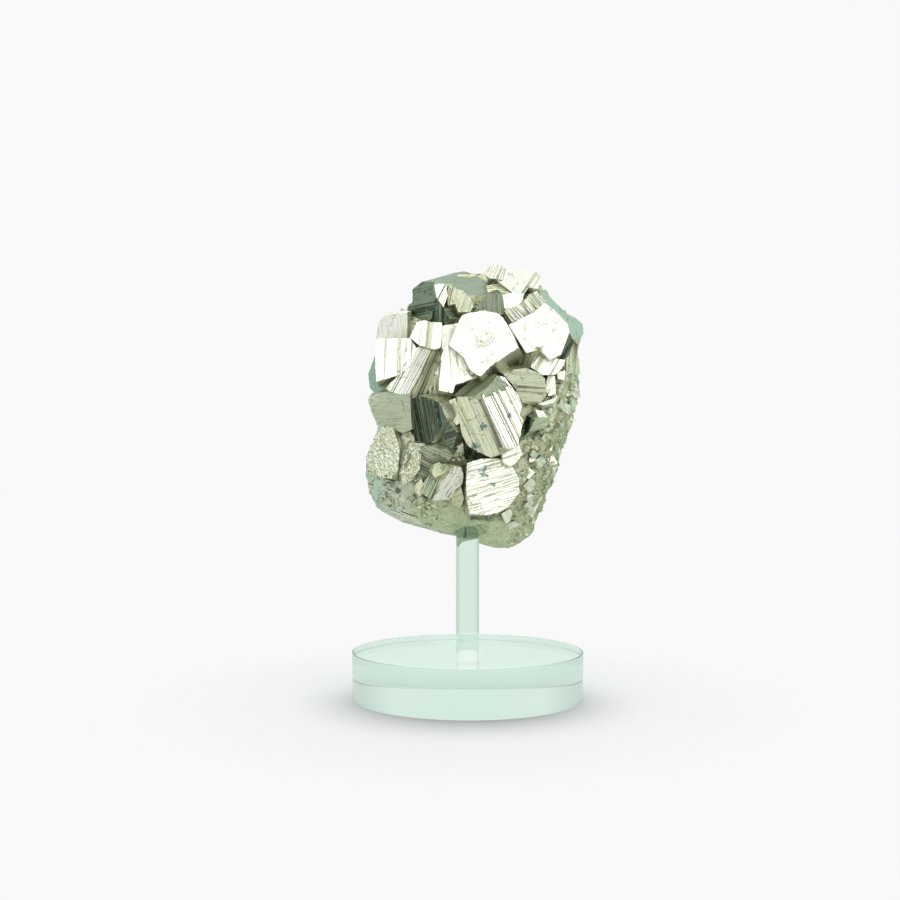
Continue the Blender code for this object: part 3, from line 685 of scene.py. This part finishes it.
def record_recess(objects, rng):
    """Writes how shut in each corner is, 0 open and 1 deep, for the painted shade in the recesses, and a tone for
    each plane of the crystals.
    """
    points, faces = [], []
    for obj in objects:
        first = len(points)
        points += [v.co for v in obj.data.vertices]
        faces += [[first + i for i in f.vertices] for f in obj.data.polygons]
    tree = BVHTree.FromPolygons(points, faces)
    rays = []
    for i in range(RECESS_RAYS):
        up = (i + 0.5) / RECESS_RAYS
        angle = i * GOLDEN_ANGLE
        level = math.sqrt(1 - up * up)
        rays.append(Vector((level * math.cos(angle), level * math.sin(angle), up)))
    whole = sum(r.z for r in rays)

    def shut_at(point, normal):
        turned = normal.to_track_quat("Z", "X")
        hidden = 0.0
        for ray in rays:
            near = tree.ray_cast(point, turned @ ray, RECESS_REACH * MM)[3]
            if near is not None:
                hidden += ray.z * (1 - near / (RECESS_REACH * MM))
        return hidden / whole

    tones = {}
    for obj in objects:
        mesh = obj.data
        layer = mesh.color_attributes.new("recess_shade_and_tone", "FLOAT_COLOR", "CORNER")
        known = {}
        for face in mesh.polygons:
            normal = face.normal
            if face.use_smooth:
                tone = 0.5 + 0.5 * noise.noise(face.center / (1.5 * MM))
            else:
                plane = (*(round(c * 40) for c in normal), round(face.center.dot(normal) / (0.05 * MM)))
                tone = tones.setdefault(plane, rng.random())
            for loop in face.loop_indices:
                vert = mesh.vertices[mesh.loops[loop].vertex_index]
                if face.use_smooth:
                    if vert.index not in known:
                        known[vert.index] = shut_at(vert.co + vert.normal * CLEARANCE * MM, vert.normal)
                    recess = known[vert.index]
                else:
                    inward = (face.center - vert.co).normalized() * CLEARANCE * MM
                    recess = shut_at(vert.co + inward + normal * CLEARANCE * MM, normal)
                layer.data[loop].color = (recess, tone, 0.0, 1.0)


# Materials


def add_node(tree, kind, **values):
    """A shader node with its settings, and its inputs given by name, as values or as links."""
    made = tree.nodes.new(kind)
    for key, value in values.items():
        if hasattr(made, key):
            setattr(made, key, value)
            continue
        socket = made.inputs[int(key[1:])] if key[0] == "_" and key[1:].isdigit() else made.inputs[key.replace("_", " ")]
        if isinstance(value, bpy.types.NodeSocket):
            tree.links.new(value, socket)
        else:
            socket.default_value = value
    return made


def new_material(name):
    """A material with only a Principled shader and its output, and its tree."""
    material = bpy.data.materials.new(name)
    material.use_nodes = True
    return material, material.node_tree, material.node_tree.nodes["Principled BSDF"]


def colour(tone):
    """A colour with full opacity."""
    return (*tone, 1.0)


def noise_value(tree, vector, size, detail=3.0, roughness=0.55, distortion=0.0):
    """Noise with features of a size in millimetres, from 0 to 1."""
    made = add_node(
        tree, "ShaderNodeTexNoise", Vector=vector, Scale=1 / (size * MM),
        Detail=detail, Roughness=roughness, Distortion=distortion,
    )
    return made.outputs["Fac"]


def steeper(tree, value, low, high, to_low=0.0, to_high=1.0):
    """Stretches a value from one range to another, held inside it."""
    made = add_node(
        tree, "ShaderNodeMapRange", Value=value, From_Min=low, From_Max=high, To_Min=to_low, To_Max=to_high
    )
    return made.outputs["Result"]


def mixed(tree, share, first, second, blend="MIX"):
    """One colour over another by a share."""
    made = tree.nodes.new("ShaderNodeMix")
    made.data_type, made.blend_type = "RGBA", blend
    for index, value in ((0, share), (6, first), (7, second)):
        if isinstance(value, bpy.types.NodeSocket):
            tree.links.new(value, made.inputs[index])
        else:
            made.inputs[index].default_value = value
    return made.outputs[2]


def near_spots(tree, place, spots):
    """How near a point is to any of the tarnish spots, ragged at their rims, from 0 to 1."""
    ragged = steeper(tree, noise_value(tree, place, 1.5, 4.0, 0.75), 0.36, 0.64)
    nearest = None
    for centre, radius in spots:
        away = add_node(tree, "ShaderNodeVectorMath", operation="DISTANCE", _0=place, _1=centre)
        rim = add_node(
            tree, "ShaderNodeMath", operation="MULTIPLY_ADD", _0=ragged, _1=-1.7 * radius, _2=away.outputs["Value"]
        )
        inside = steeper(tree, rim.outputs[0], -0.1 * MM, 0.15 * MM, 1.0, 0.0)
        if nearest is not None:
            both = add_node(tree, "ShaderNodeMath", operation="MAXIMUM", _0=inside, _1=nearest)
            inside = both.outputs[0]
        nearest = inside
    return nearest


def pyrite_material(name, tone, line_tone, gloss, bands, slits, speckle=0.0, metal=1.0, bump=0.04, mottle=0.0, spots=()):
    """Pyrite with growth lines, with painted shade and more roughness in its recesses, with cloudy tones and spots
    of tarnish.
    """
    material, tree, shader = new_material(name)
    place = tree.nodes.new("ShaderNodeTexCoord").outputs["Object"]
    # How shut in each corner is, painted below as shade in the recesses, and a tone for each plane
    recess_shade_and_tone = add_node(tree, "ShaderNodeAttribute", attribute_name="recess_shade_and_tone")
    parts = add_node(tree, "ShaderNodeSeparateColor", Color=recess_shade_and_tone.outputs["Color"])
    recess, face_tone = parts.outputs["Red"], parts.outputs["Green"]

    cloud = steeper(tree, noise_value(tree, place, 5.0, 3.0), 0.38, 0.66)
    fine = noise_value(tree, place, 0.8, 4.0, 0.65)
    green, warm = [[a * b for a, b in zip(tone, cast)] for cast in CASTS]
    shade = mixed(tree, cloud, colour(green), colour(warm))
    darker = colour([0.6 * a + 0.4 * b for a, b in zip(tone, line_tone)])
    shade = mixed(tree, steeper(tree, face_tone, 0.3, 1.0, 0.0, 0.4), shade, darker)

    lines = bands or slits
    if lines:
        mapped = add_node(
            tree, "ShaderNodeMapping",
            Vector=add_node(tree, "ShaderNodeUVMap", uv_map="lines").outputs["UV"], Scale=(1.0, 0.045, 1.0),
        ).outputs["Vector"]
        wide = add_node(tree, "ShaderNodeTexNoise", Vector=mapped, Scale=0.8, Detail=3.0, Roughness=0.6)
        thin = add_node(tree, "ShaderNodeTexNoise", Vector=mapped, Scale=2.6, Detail=3.0, Roughness=0.65)
        band = steeper(tree, wide.outputs["Fac"], 0.46, 0.7, 0.0, bands)
        hair = steeper(tree, thin.outputs["Fac"], 0.53, 0.60)
        shade = mixed(tree, band, shade, colour(line_tone))
        # Painted shade: the hair lines, which the bump below sinks in as fine grooves, are painted darker (lighter
        # on the black faces, painted glint)
        shade = mixed(tree, steeper(tree, hair, 0, 1, 0, slits), shade, colour([t * 0.6 for t in line_tone]))
    if lines:
        warped = add_node(
            tree, "ShaderNodeVectorMath", operation="MULTIPLY_ADD", _2=place, _1=(CRACK_WARP * MM,) * 3,
            _0=add_node(
                tree, "ShaderNodeTexNoise", Vector=place, Scale=0.4 / MM, Detail=3.0, Roughness=0.6
            ).outputs["Color"],
        )
        crack = add_node(
            tree, "ShaderNodeTexVoronoi", feature="DISTANCE_TO_EDGE", Vector=warped.outputs["Vector"],
            Scale=1 / (CRACK_SIZE * MM),
        )
        broken = steeper(tree, noise_value(tree, place, 3.0, 2.0), 0.5, 0.58, 0.0, 0.7)
        crack = steeper(tree, crack.outputs["Distance"], 0.008, 0.03, 1.0, 0.0)
        crack = add_node(tree, "ShaderNodeMath", operation="MULTIPLY", _0=crack, _1=broken)
        shade = mixed(tree, crack.outputs[0], shade, colour([t * 0.5 for t in line_tone]))
    if speckle:
        grit = noise_value(tree, place, 0.55, 2.0, 0.7)
        shade = mixed(tree, steeper(tree, grit, 0.5, 0.6, 0.0, speckle), shade, colour(line_tone))
    if mottle:
        # Painted sheen: the left flank is tinted paler and mint
        aside = add_node(tree, "ShaderNodeSeparateXYZ", Vector=place).outputs["X"]
        flank_sheen = steeper(tree, aside, *FLANK_FROM, 0.0, FLANK_SHARE)
        shade = mixed(tree, flank_sheen, shade, colour(FLANK_SHEEN_TONE))
        patch = noise_value(tree, place, 2.6, 3.0, 0.7, 0.6)
        shade = mixed(tree, steeper(tree, patch, 0.5, 0.66, 0.0, 0.5 * mottle), shade, colour(line_tone))
        pale_patch = steeper(tree, patch, 0.46, 0.3, 0.0, 0.5 * mottle)
        shade = mixed(tree, pale_patch, shade, colour(FLECK))
        pit = noise_value(tree, place, 1.0, 2.0, 0.6)
        shade = mixed(tree, steeper(tree, pit, 0.66, 0.70, 0.0, mottle), shade, colour(PIT_AND_RECESS_SHADE))
        shade = mixed(tree, steeper(tree, pit, 0.33, 0.29, 0.0, mottle), shade, colour(FLECK))

    if spots:
        tarnish = steeper(tree, near_spots(tree, place, spots), 0.0, 1.0, 0.0, 0.85)
        shade = mixed(tree, tarnish, shade, colour(TARNISH))
    # Painted shade: the colour darkens towards the recesses, by how shut in each corner is
    painted_recess_shade = steeper(tree, recess, 0.3, 0.95, 0.0, 0.8)
    shade = mixed(tree, painted_recess_shade, shade, colour(PIT_AND_RECESS_SHADE))
    tree.links.new(shade, shader.inputs["Base Color"])

    rough = steeper(tree, fine, 0.3, 0.7, gloss - 0.05, gloss + 0.09)
    rough = add_node(tree, "ShaderNodeMath", operation="MULTIPLY_ADD", _0=recess, _1=0.3, _2=rough)
    rough.use_clamp = True
    tree.links.new(rough.outputs[0], shader.inputs["Roughness"])
    shader.inputs["Metallic"].default_value = metal

    grain = add_node(tree, "ShaderNodeBump", Height=fine, Strength=0.35, Distance=bump * MM)
    last = grain.outputs["Normal"]
    if lines:
        comb = add_node(tree, "ShaderNodeBump", Height=hair, Strength=0.5, Distance=0.05 * MM, Normal=last)
        comb.invert = True
        last = comb.outputs["Normal"]
    tree.links.new(last, shader.inputs["Normal"])
    return material


def acrylic_material(name, tint, density, painted_foot_light=None):
    """Clear acrylic: plain transmission, tinted faintly at its faces and through its depth, and painted lighter and
    clearer below a height if a foot colour is given.
    """
    material, tree, shader = new_material(name)
    place = tree.nodes.new("ShaderNodeTexCoord").outputs["Object"]
    shader.inputs["Base Color"].default_value = colour(tint)
    # Painted light: the foot is given a lighter, clearer tint
    if painted_foot_light:
        height = add_node(tree, "ShaderNodeSeparateXYZ", Vector=place).outputs["Z"]
        tree.links.new(
            mixed(tree, steeper(tree, height, *FOOT), colour(painted_foot_light), colour(tint)), shader.inputs["Base Color"]
        )
    shader.inputs["Transmission Weight"].default_value = 1.0
    shader.inputs["IOR"].default_value = 1.49
    haze = noise_value(tree, place, 14.0, 3.0)
    tree.links.new(steeper(tree, haze, 0.3, 0.7, 0.005, 0.03), shader.inputs["Roughness"])
    if density:
        depth = add_node(tree, "ShaderNodeVolumeAbsorption", Color=colour(ACRYLIC_DEPTH), Density=density)
        tree.links.new(depth.outputs[0], tree.nodes["Material Output"].inputs["Volume"])
    return material


def floor_material(name, tone, near, far):
    """Matt pale floor that fades into the backdrop away from the object."""
    material, tree, shader = new_material(name)
    place = tree.nodes.new("ShaderNodeTexCoord").outputs["Object"]
    paint = noise_value(tree, place, 60.0, 2.0)
    shade = mixed(tree, steeper(tree, paint, 0.3, 0.7, 0.0, 0.04), colour(tone), colour([t * 0.98 for t in tone]))
    tree.links.new(shade, shader.inputs["Base Color"])
    shader.inputs["Roughness"].default_value = 0.9
    shader.inputs["Specular IOR Level"].default_value = 0.0
    shader.inputs["Emission Color"].default_value = colour((1, 1, 1))
    away = add_node(tree, "ShaderNodeVectorMath", operation="LENGTH", _0=place)
    aside = add_node(tree, "ShaderNodeVectorMath", operation="DISTANCE", _0=place, _1=SHADOW_MIDDLE)
    shadow = steeper(tree, aside.outputs["Value"], *SHADOW_FROM, 1.0, 0.0)
    shadow = add_node(tree, "ShaderNodeMath", operation="MULTIPLY", _0=shadow, _1=shadow)
    shaded = add_node(
        tree, "ShaderNodeMath", operation="MULTIPLY_ADD", _0=shadow.outputs[0], _1=-SHADOW_DEPTH, _2=FLOOR_GLOW
    )
    outside = steeper(tree, away.outputs["Value"], *UNDER_BASE)
    glow = tree.nodes.new("ShaderNodeMix")
    glow.inputs["A"].default_value = UNDER_GLOW
    tree.links.new(outside, glow.inputs["Factor"])
    tree.links.new(shaded.outputs[0], glow.inputs["B"])
    tree.links.new(glow.outputs["Result"], shader.inputs["Emission Strength"])
    fade = steeper(tree, away.outputs["Value"], near, far)
    clear = tree.nodes.new("ShaderNodeBsdfTransparent")
    both = add_node(
        tree, "ShaderNodeMixShader", _0=fade, _1=shader.outputs[0], _2=clear.outputs[0]
    )
    tree.links.new(both.outputs[0], tree.nodes["Material Output"].inputs["Surface"])
    return material


# Settings and operators


class PyriteSettings(bpy.types.PropertyGroup):
    """Sizes and looks of the specimen."""

    seed: bpy.props.IntProperty(name="Seed", description="Starts the random growth", default=7)
    striated: bpy.props.BoolProperty(
        name="Growth ridges", description="Cut growth ridges into the crystal faces", default=True
    )
    roughness: bpy.props.FloatProperty(
        name="Roughness", description="Roughness of the bright crystal faces", default=0.26, min=0.02, max=1.0,
        subtype="FACTOR",
    )
    # The tones are lit and shaded copies of one pyrite: the bright one holds painted highlight, the grey and dark
    # ones painted reflection and shade
    white_tone: bpy.props.FloatVectorProperty(
        name="Bright pyrite", description="Colour of the bright crystal faces", subtype="COLOR",
        default=(0.86, 0.87, 0.82), min=0, max=1,
    )
    pale_tone: bpy.props.FloatVectorProperty(
        name="Pale pyrite", description="Colour of the pale green crystal faces", subtype="COLOR",
        default=(0.82, 0.85, 0.64), min=0, max=1,
    )
    sage_tone: bpy.props.FloatVectorProperty(
        name="Sage pyrite", description="Colour of the grey-green crystal faces in even light", subtype="COLOR",
        default=(0.60, 0.65, 0.49), min=0, max=1,
    )
    olive_tone: bpy.props.FloatVectorProperty(
        name="Olive pyrite", description="Colour of the olive crystal faces", subtype="COLOR",
        default=(0.70, 0.72, 0.49), min=0, max=1,
    )
    grey_tone: bpy.props.FloatVectorProperty(
        name="Grey pyrite", description="Colour of the darker grey-green crystal faces", subtype="COLOR",
        default=(0.38, 0.43, 0.34), min=0, max=1,
    )
    black_tone: bpy.props.FloatVectorProperty(
        name="Dark pyrite", description="Colour of the darkest faces and grooves", subtype="COLOR",
        default=(0.042, 0.064, 0.045), min=0, max=1,
    )
    massive_tone: bpy.props.FloatVectorProperty(
        name="Massive pyrite", description="Colour of the pyrite without crystal faces", subtype="COLOR",
        default=(0.55, 0.57, 0.385), min=0, max=1,
    )


class StandSettings(bpy.types.PropertyGroup):
    """Sizes and looks of the stand."""

    edge_round: bpy.props.FloatProperty(
        name="Edge rounding", description="Radius of the base's polished edges", default=0.2 * MM, min=0.0,
        unit="LENGTH",
    )
    tint: bpy.props.FloatVectorProperty(
        name="Acrylic tint", description="Faint colour of the clear acrylic", subtype="COLOR",
        default=(0.76, 0.885, 0.815), min=0, max=1,
    )
    rod_tint: bpy.props.FloatVectorProperty(
        name="Rod tint", description="Faint colour of the rod's clear acrylic", subtype="COLOR",
        default=(0.712, 0.865, 0.775), min=0, max=1,
    )
    depth: bpy.props.FloatProperty(
        name="Depth of tint", description="Absorption of the base per metre", default=1.2, min=0.0,
    )


class StageSettings(bpy.types.PropertyGroup):
    """Floor, light and camera."""

    floor_radius: bpy.props.FloatProperty(
        name="Floor radius", description="Radius of the pale floor", default=0.6, min=0.2, unit="LENGTH"
    )
    floor_tone: bpy.props.FloatVectorProperty(
        name="Floor colour", description="Colour of the floor", subtype="COLOR", default=(0.33, 0.33, 0.33), min=0, max=1
    )
    lens: bpy.props.FloatProperty(
        name="Lens", description="Focal length on a 36 mm sensor", default=LENS, min=10, unit="CAMERA"
    )


def settings():
    """This file's settings in the scene."""
    scene = bpy.context.scene
    return scene.pyrite_settings, scene.stand_settings, scene.stage_settings


def blend_tone(first, second, share):
    """A tone between two."""
    return [a + (b - a) * share for a, b in zip(first, second)]


def make_finishes(values, spots):
    """The finishes of the pyrite, by the names that the faces are given: lit and shaded copies of one pyrite, with
    painted highlight, reflection and shade in their tones.
    """
    white, pale, olive = values.white_tone, values.pale_tone, values.olive_tone
    grey, black, massive = values.grey_tone, values.black_tone, values.massive_tone
    gloss = values.roughness
    deep = blend_tone(olive, black, 0.65)
    looks = {
        "massive": (massive, deep, 0.44, 0, 0, 0.25, 0.9, 0.22, 0.8),
        "side": (blend_tone(white, pale, 0.45), olive, gloss + 0.04, 0.3, 0.45),
        "white": (white, olive, gloss, 0.16, 0.34),
        "cream": (blend_tone(white, pale, 0.4), deep, gloss, 0.03, 0.8),
        "pale": (pale, deep, gloss + 0.08, 0.12, 0.35),
        "sage": (values.sage_tone, deep, gloss + 0.1, 0.14, 0.45),
        "mint": (MINT_SHEEN_TONE, grey, 0.4, 0.15, 0.15),
        "olive": (olive, deep, gloss + 0.04, 0.25, 0.45),
        "brass": (blend_tone(olive, white, 0.25), deep, gloss, 0.45, 0.7, 0.3),
        "steel": (grey, deep, gloss, 0.3, 0.45),
        "matt": (blend_tone(grey, black, 0.42), [t * 0.5 for t in grey], 0.42, 0.15, 0.4),
        "dark": (blend_tone(grey, black, 0.2), black, gloss, 0.25, 0.4),
        # The black finish is painted dark reflection, and its lighter line tone painted glint on its striations
        "black": (black, [t * 2.6 for t in grey], gloss - 0.04, 0.0, 0.12),
        "rough": (blend_tone(white, pale, 0.6), deep, 0.36, 0, 0, 0.75, 1.0, 0.25),
    }
    return {
        name: pyrite_material(f"{name} pyrite", *look, spots=spots) for name, look in looks.items()
    }


class PYRITE_OT_cluster(bpy.types.Operator):
    """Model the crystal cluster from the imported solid, with ridges, rough massive pyrite and grains"""

    bl_idname = "pyrite.cluster"
    bl_label = "Pyrite cluster"

    def execute(self, context):
        values = settings()[0]
        rng = random.Random(values.seed)
        rock = node_copy(ROCK_NODE, "pyrite_cluster_detailed")
        rock.data.materials.clear()
        surface = BVHTree.FromObject(rock, context.evaluated_depsgraph_get())
        spots = [(hit_at(surface, across, up)[0], radius * MM) for across, up, radius in TARNISH_SPOTS]
        finishes = make_finishes(values, spots)
        for name in FINISHES:
            rock.data.materials.append(finishes[name])
        if "lines" not in rock.data.uv_layers:
            rock.data.uv_layers.new(name="lines")
        rock.data.attributes.new("dressed", "INT", "FACE")
        only(rock)
        bpy.ops.object.mode_set(mode="EDIT")
        bpy.ops.mesh.select_mode(type="FACE")
        find_massive(rock)
        if values.striated:
            dress_crystal_faces(rock, rng)
            dress_other_faces(rock, rng)
        bpy.ops.object.mode_set(mode="OBJECT")
        grains = scatter_grains(rock, rng)
        for name in FINISHES:
            grains.data.materials.append(finishes[name])
        lay_lines(grains)
        extras = [add_terraces(rock, rng), add_comb(rock, rng)]
        for extra in extras:
            lay_lines(extra)
            for name in FINISHES:
                extra.data.materials.append(finishes[name])
        bpy.ops.object.select_all(action="DESELECT")
        only(rock)
        bpy.ops.object.mode_set(mode="EDIT")
        roughen_massive(rock)
        bpy.ops.object.mode_set(mode="OBJECT")
        rock = join([rock, *extras], rock.name)
        record_recess([rock, grains], rng)
        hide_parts(ROCK_NODE)
        for obj in (rock, grains):
            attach(obj, "root")
        return {"FINISHED"}


def turned_bar(name, radius, bottom, top, edge, sides, material):
    """A round bar of clear acrylic with polished, slightly rounded rims."""
    bpy.ops.object.select_all(action="DESELECT")
    bpy.ops.mesh.primitive_cylinder_add(
        vertices=sides, radius=radius, depth=top - bottom, location=(0, 0, (top + bottom) / 2)
    )
    bar = bpy.context.object
    bar.name = bar.data.name = name
    bpy.ops.object.transform_apply(location=True, rotation=True, scale=True)
    bevel = bar.modifiers.new("Polished edge", "BEVEL")
    bevel.limit_method = "ANGLE"
    bevel.angle_limit = math.radians(60)
    bevel.width = edge
    bevel.segments = 5
    bpy.ops.object.modifier_apply(modifier=bevel.name)
    bpy.ops.object.shade_smooth_by_angle(angle=math.radians(30))
    for face in bar.data.polygons:
        if abs(face.normal.z) > 0.999:
            face.use_smooth = False
    points = bar.data.vertices
    for edge in bar.data.edges:
        ends = [points[i].co for i in edge.vertices]
        level = abs(ends[0].z - ends[1].z) < 0.001 * MM
        if level and min(end.xy.length for end in ends) > radius - 0.001 * MM:
            edge.use_edge_sharp = True
    bar.data.materials.append(material)
    return bar


class PYRITE_OT_stand(bpy.types.Operator):
    """Model the round acrylic base and the rod that stands on it"""

    bl_idname = "pyrite.stand"
    bl_label = "Acrylic base and rod"

    def execute(self, context):
        values = settings()[1]
        low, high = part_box(BASE_NODE)
        base = turned_bar(
            "clear_base", high.x, low.z, high.z, values.edge_round, 256,
            acrylic_material("clear acrylic base", values.tint, values.depth),
        )
        rod_low, rod_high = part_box(ROD_NODE)
        rod = turned_bar(
            "clear_rod", rod_high.x, high.z + BOND_GAP, rod_high.z, 0.05 * MM, 128,
            acrylic_material("clear acrylic rod", values.rod_tint, values.depth, FOOT_PAINTED_LIGHT),
        )
        for piece, node in ((base, BASE_NODE), (rod, ROD_NODE)):
            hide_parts(node)
            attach(piece, "root")
        return {"FINISHED"}


def area_light(name, place, target, size, power, tone=(1, 1, 1)):
    """A soft rectangular lamp aimed at a point."""
    bpy.ops.object.light_add(type="AREA", location=place)
    lamp = bpy.context.object
    lamp.name = name
    lamp.data.shape = "RECTANGLE"
    lamp.data.size, lamp.data.size_y = size
    lamp.data.energy = power
    lamp.data.color = tone
    lamp.visible_transmission = False
    lamp.rotation_euler = (Vector(target) - Vector(place)).to_track_quat("-Z", "Y").to_euler()
    return lamp


def make_world(name):
    """The pale backdrop, to the eye and through the acrylic. Other rays meet softer light, greenish behind."""
    world = bpy.data.worlds.new(name)
    world.use_nodes = True
    tree = world.node_tree
    background = tree.nodes["Background"]
    ray = tree.nodes.new("ShaderNodeLightPath")
    seen = add_node(
        tree, "ShaderNodeMath", operation="MAXIMUM",
        _0=ray.outputs["Is Camera Ray"], _1=ray.outputs["Is Transmission Ray"],
    )
    way = add_node(
        tree, "ShaderNodeSeparateXYZ", Vector=tree.nodes.new("ShaderNodeTexCoord").outputs["Generated"]
    )
    aside = add_node(tree, "ShaderNodeMath", operation="ABSOLUTE", _0=way.outputs["X"])
    bent = steeper(tree, aside.outputs[0], *BENT_FROM)
    bent = add_node(
        tree, "ShaderNodeMath", operation="MULTIPLY", _0=bent, _1=ray.outputs["Is Transmission Ray"]
    ).outputs[0]
    edge = colour([t * BENT_SHADE for t in BACKDROP])
    tree.links.new(mixed(tree, bent, colour(BACKDROP), edge), background.inputs["Color"])
    beside = steeper(tree, aside.outputs[0], *BESIDE_FROM)
    behind = steeper(tree, way.outputs["Y"], *BEHIND_FROM)
    behind = add_node(tree, "ShaderNodeMath", operation="MAXIMUM", _0=behind, _1=beside).outputs[0]
    level = steeper(tree, way.outputs["Z"], -1.0, 1.0, *WORLD_LEVELS)
    tone = mixed(tree, behind, colour((1, 1, 1)), colour(BEHIND))
    around = add_node(tree, "ShaderNodeBackground", Color=tone, Strength=level)
    both = add_node(
        tree, "ShaderNodeMixShader", _0=seen.outputs[0], _1=around.outputs[0], _2=background.outputs[0]
    )
    tree.links.new(both.outputs[0], tree.nodes["World Output"].inputs["Surface"])
    return world


class PYRITE_OT_stage(bpy.types.Operator):
    """Set the pale floor, the soft lamps and the camera"""

    bl_idname = "pyrite.stage"
    bl_label = "Stage"

    def execute(self, context):
        values = settings()[2]
        bpy.ops.mesh.primitive_circle_add(
            vertices=96, radius=values.floor_radius, fill_type="NGON", location=(0, 0, -0.2 * MM)
        )
        floor = bpy.context.object
        floor.name = "pale_floor"
        bpy.ops.object.transform_apply(location=True, rotation=True, scale=True)
        floor.data.materials.append(floor_material("pale floor", values.floor_tone, *FLOOR_FADE))

        centre = (0, 0, 0.12)
        for name, place, size, power in LAMPS:
            area_light(name, place, centre, size, power)
        context.scene.world = make_world("studio")

        camera = bpy.data.objects.new("camera", bpy.data.cameras.new("camera"))
        context.scene.collection.objects.link(camera)
        camera.location = Vector(EYE) * MM
        camera.rotation_euler = (math.pi / 2, 0, 0)
        camera.data.sensor_width = 36
        camera.data.lens = values.lens
        context.scene.camera = camera
        context.scene.view_settings.view_transform = "Standard"
        return {"FINISHED"}


class PYRITE_PT_panel(bpy.types.Panel):
    """Lists the steps and their settings."""

    bl_idname = "PYRITE_PT_panel"
    bl_label = "Pyrite specimen"
    bl_space_type = "VIEW_3D"
    bl_region_type = "UI"
    bl_category = "Pyrite specimen"

    def draw(self, context):
        groups = zip(settings(), (PYRITE_OT_cluster, PYRITE_OT_stand, PYRITE_OT_stage))
        for group, step in groups:
            box = self.layout.box()
            for name in group.__annotations__:
                box.prop(group, name)
            box.operator(step.bl_idname)


CLASSES = (
    PyriteSettings, StandSettings, StageSettings, PYRITE_OT_cluster, PYRITE_OT_stand, PYRITE_OT_stage,
    PYRITE_PT_panel,
)


def register():
    """Adds the classes and the scene's settings."""
    for made in CLASSES:
        bpy.utils.register_class(made)
    bpy.types.Scene.pyrite_settings = bpy.props.PointerProperty(type=PyriteSettings)
    bpy.types.Scene.stand_settings = bpy.props.PointerProperty(type=StandSettings)
    bpy.types.Scene.stage_settings = bpy.props.PointerProperty(type=StageSettings)


def unregister():
    """Takes them away again."""
    for name in ("pyrite_settings", "stand_settings", "stage_settings"):
        delattr(bpy.types.Scene, name)
    for made in reversed(CLASSES):
        bpy.utils.unregister_class(made)


def main():
    """Makes every piece in order."""
    register()
    bpy.ops.pyrite.cluster()
    bpy.ops.pyrite.stand()
    bpy.ops.pyrite.stage()


if __name__ == "__main__":
    main()
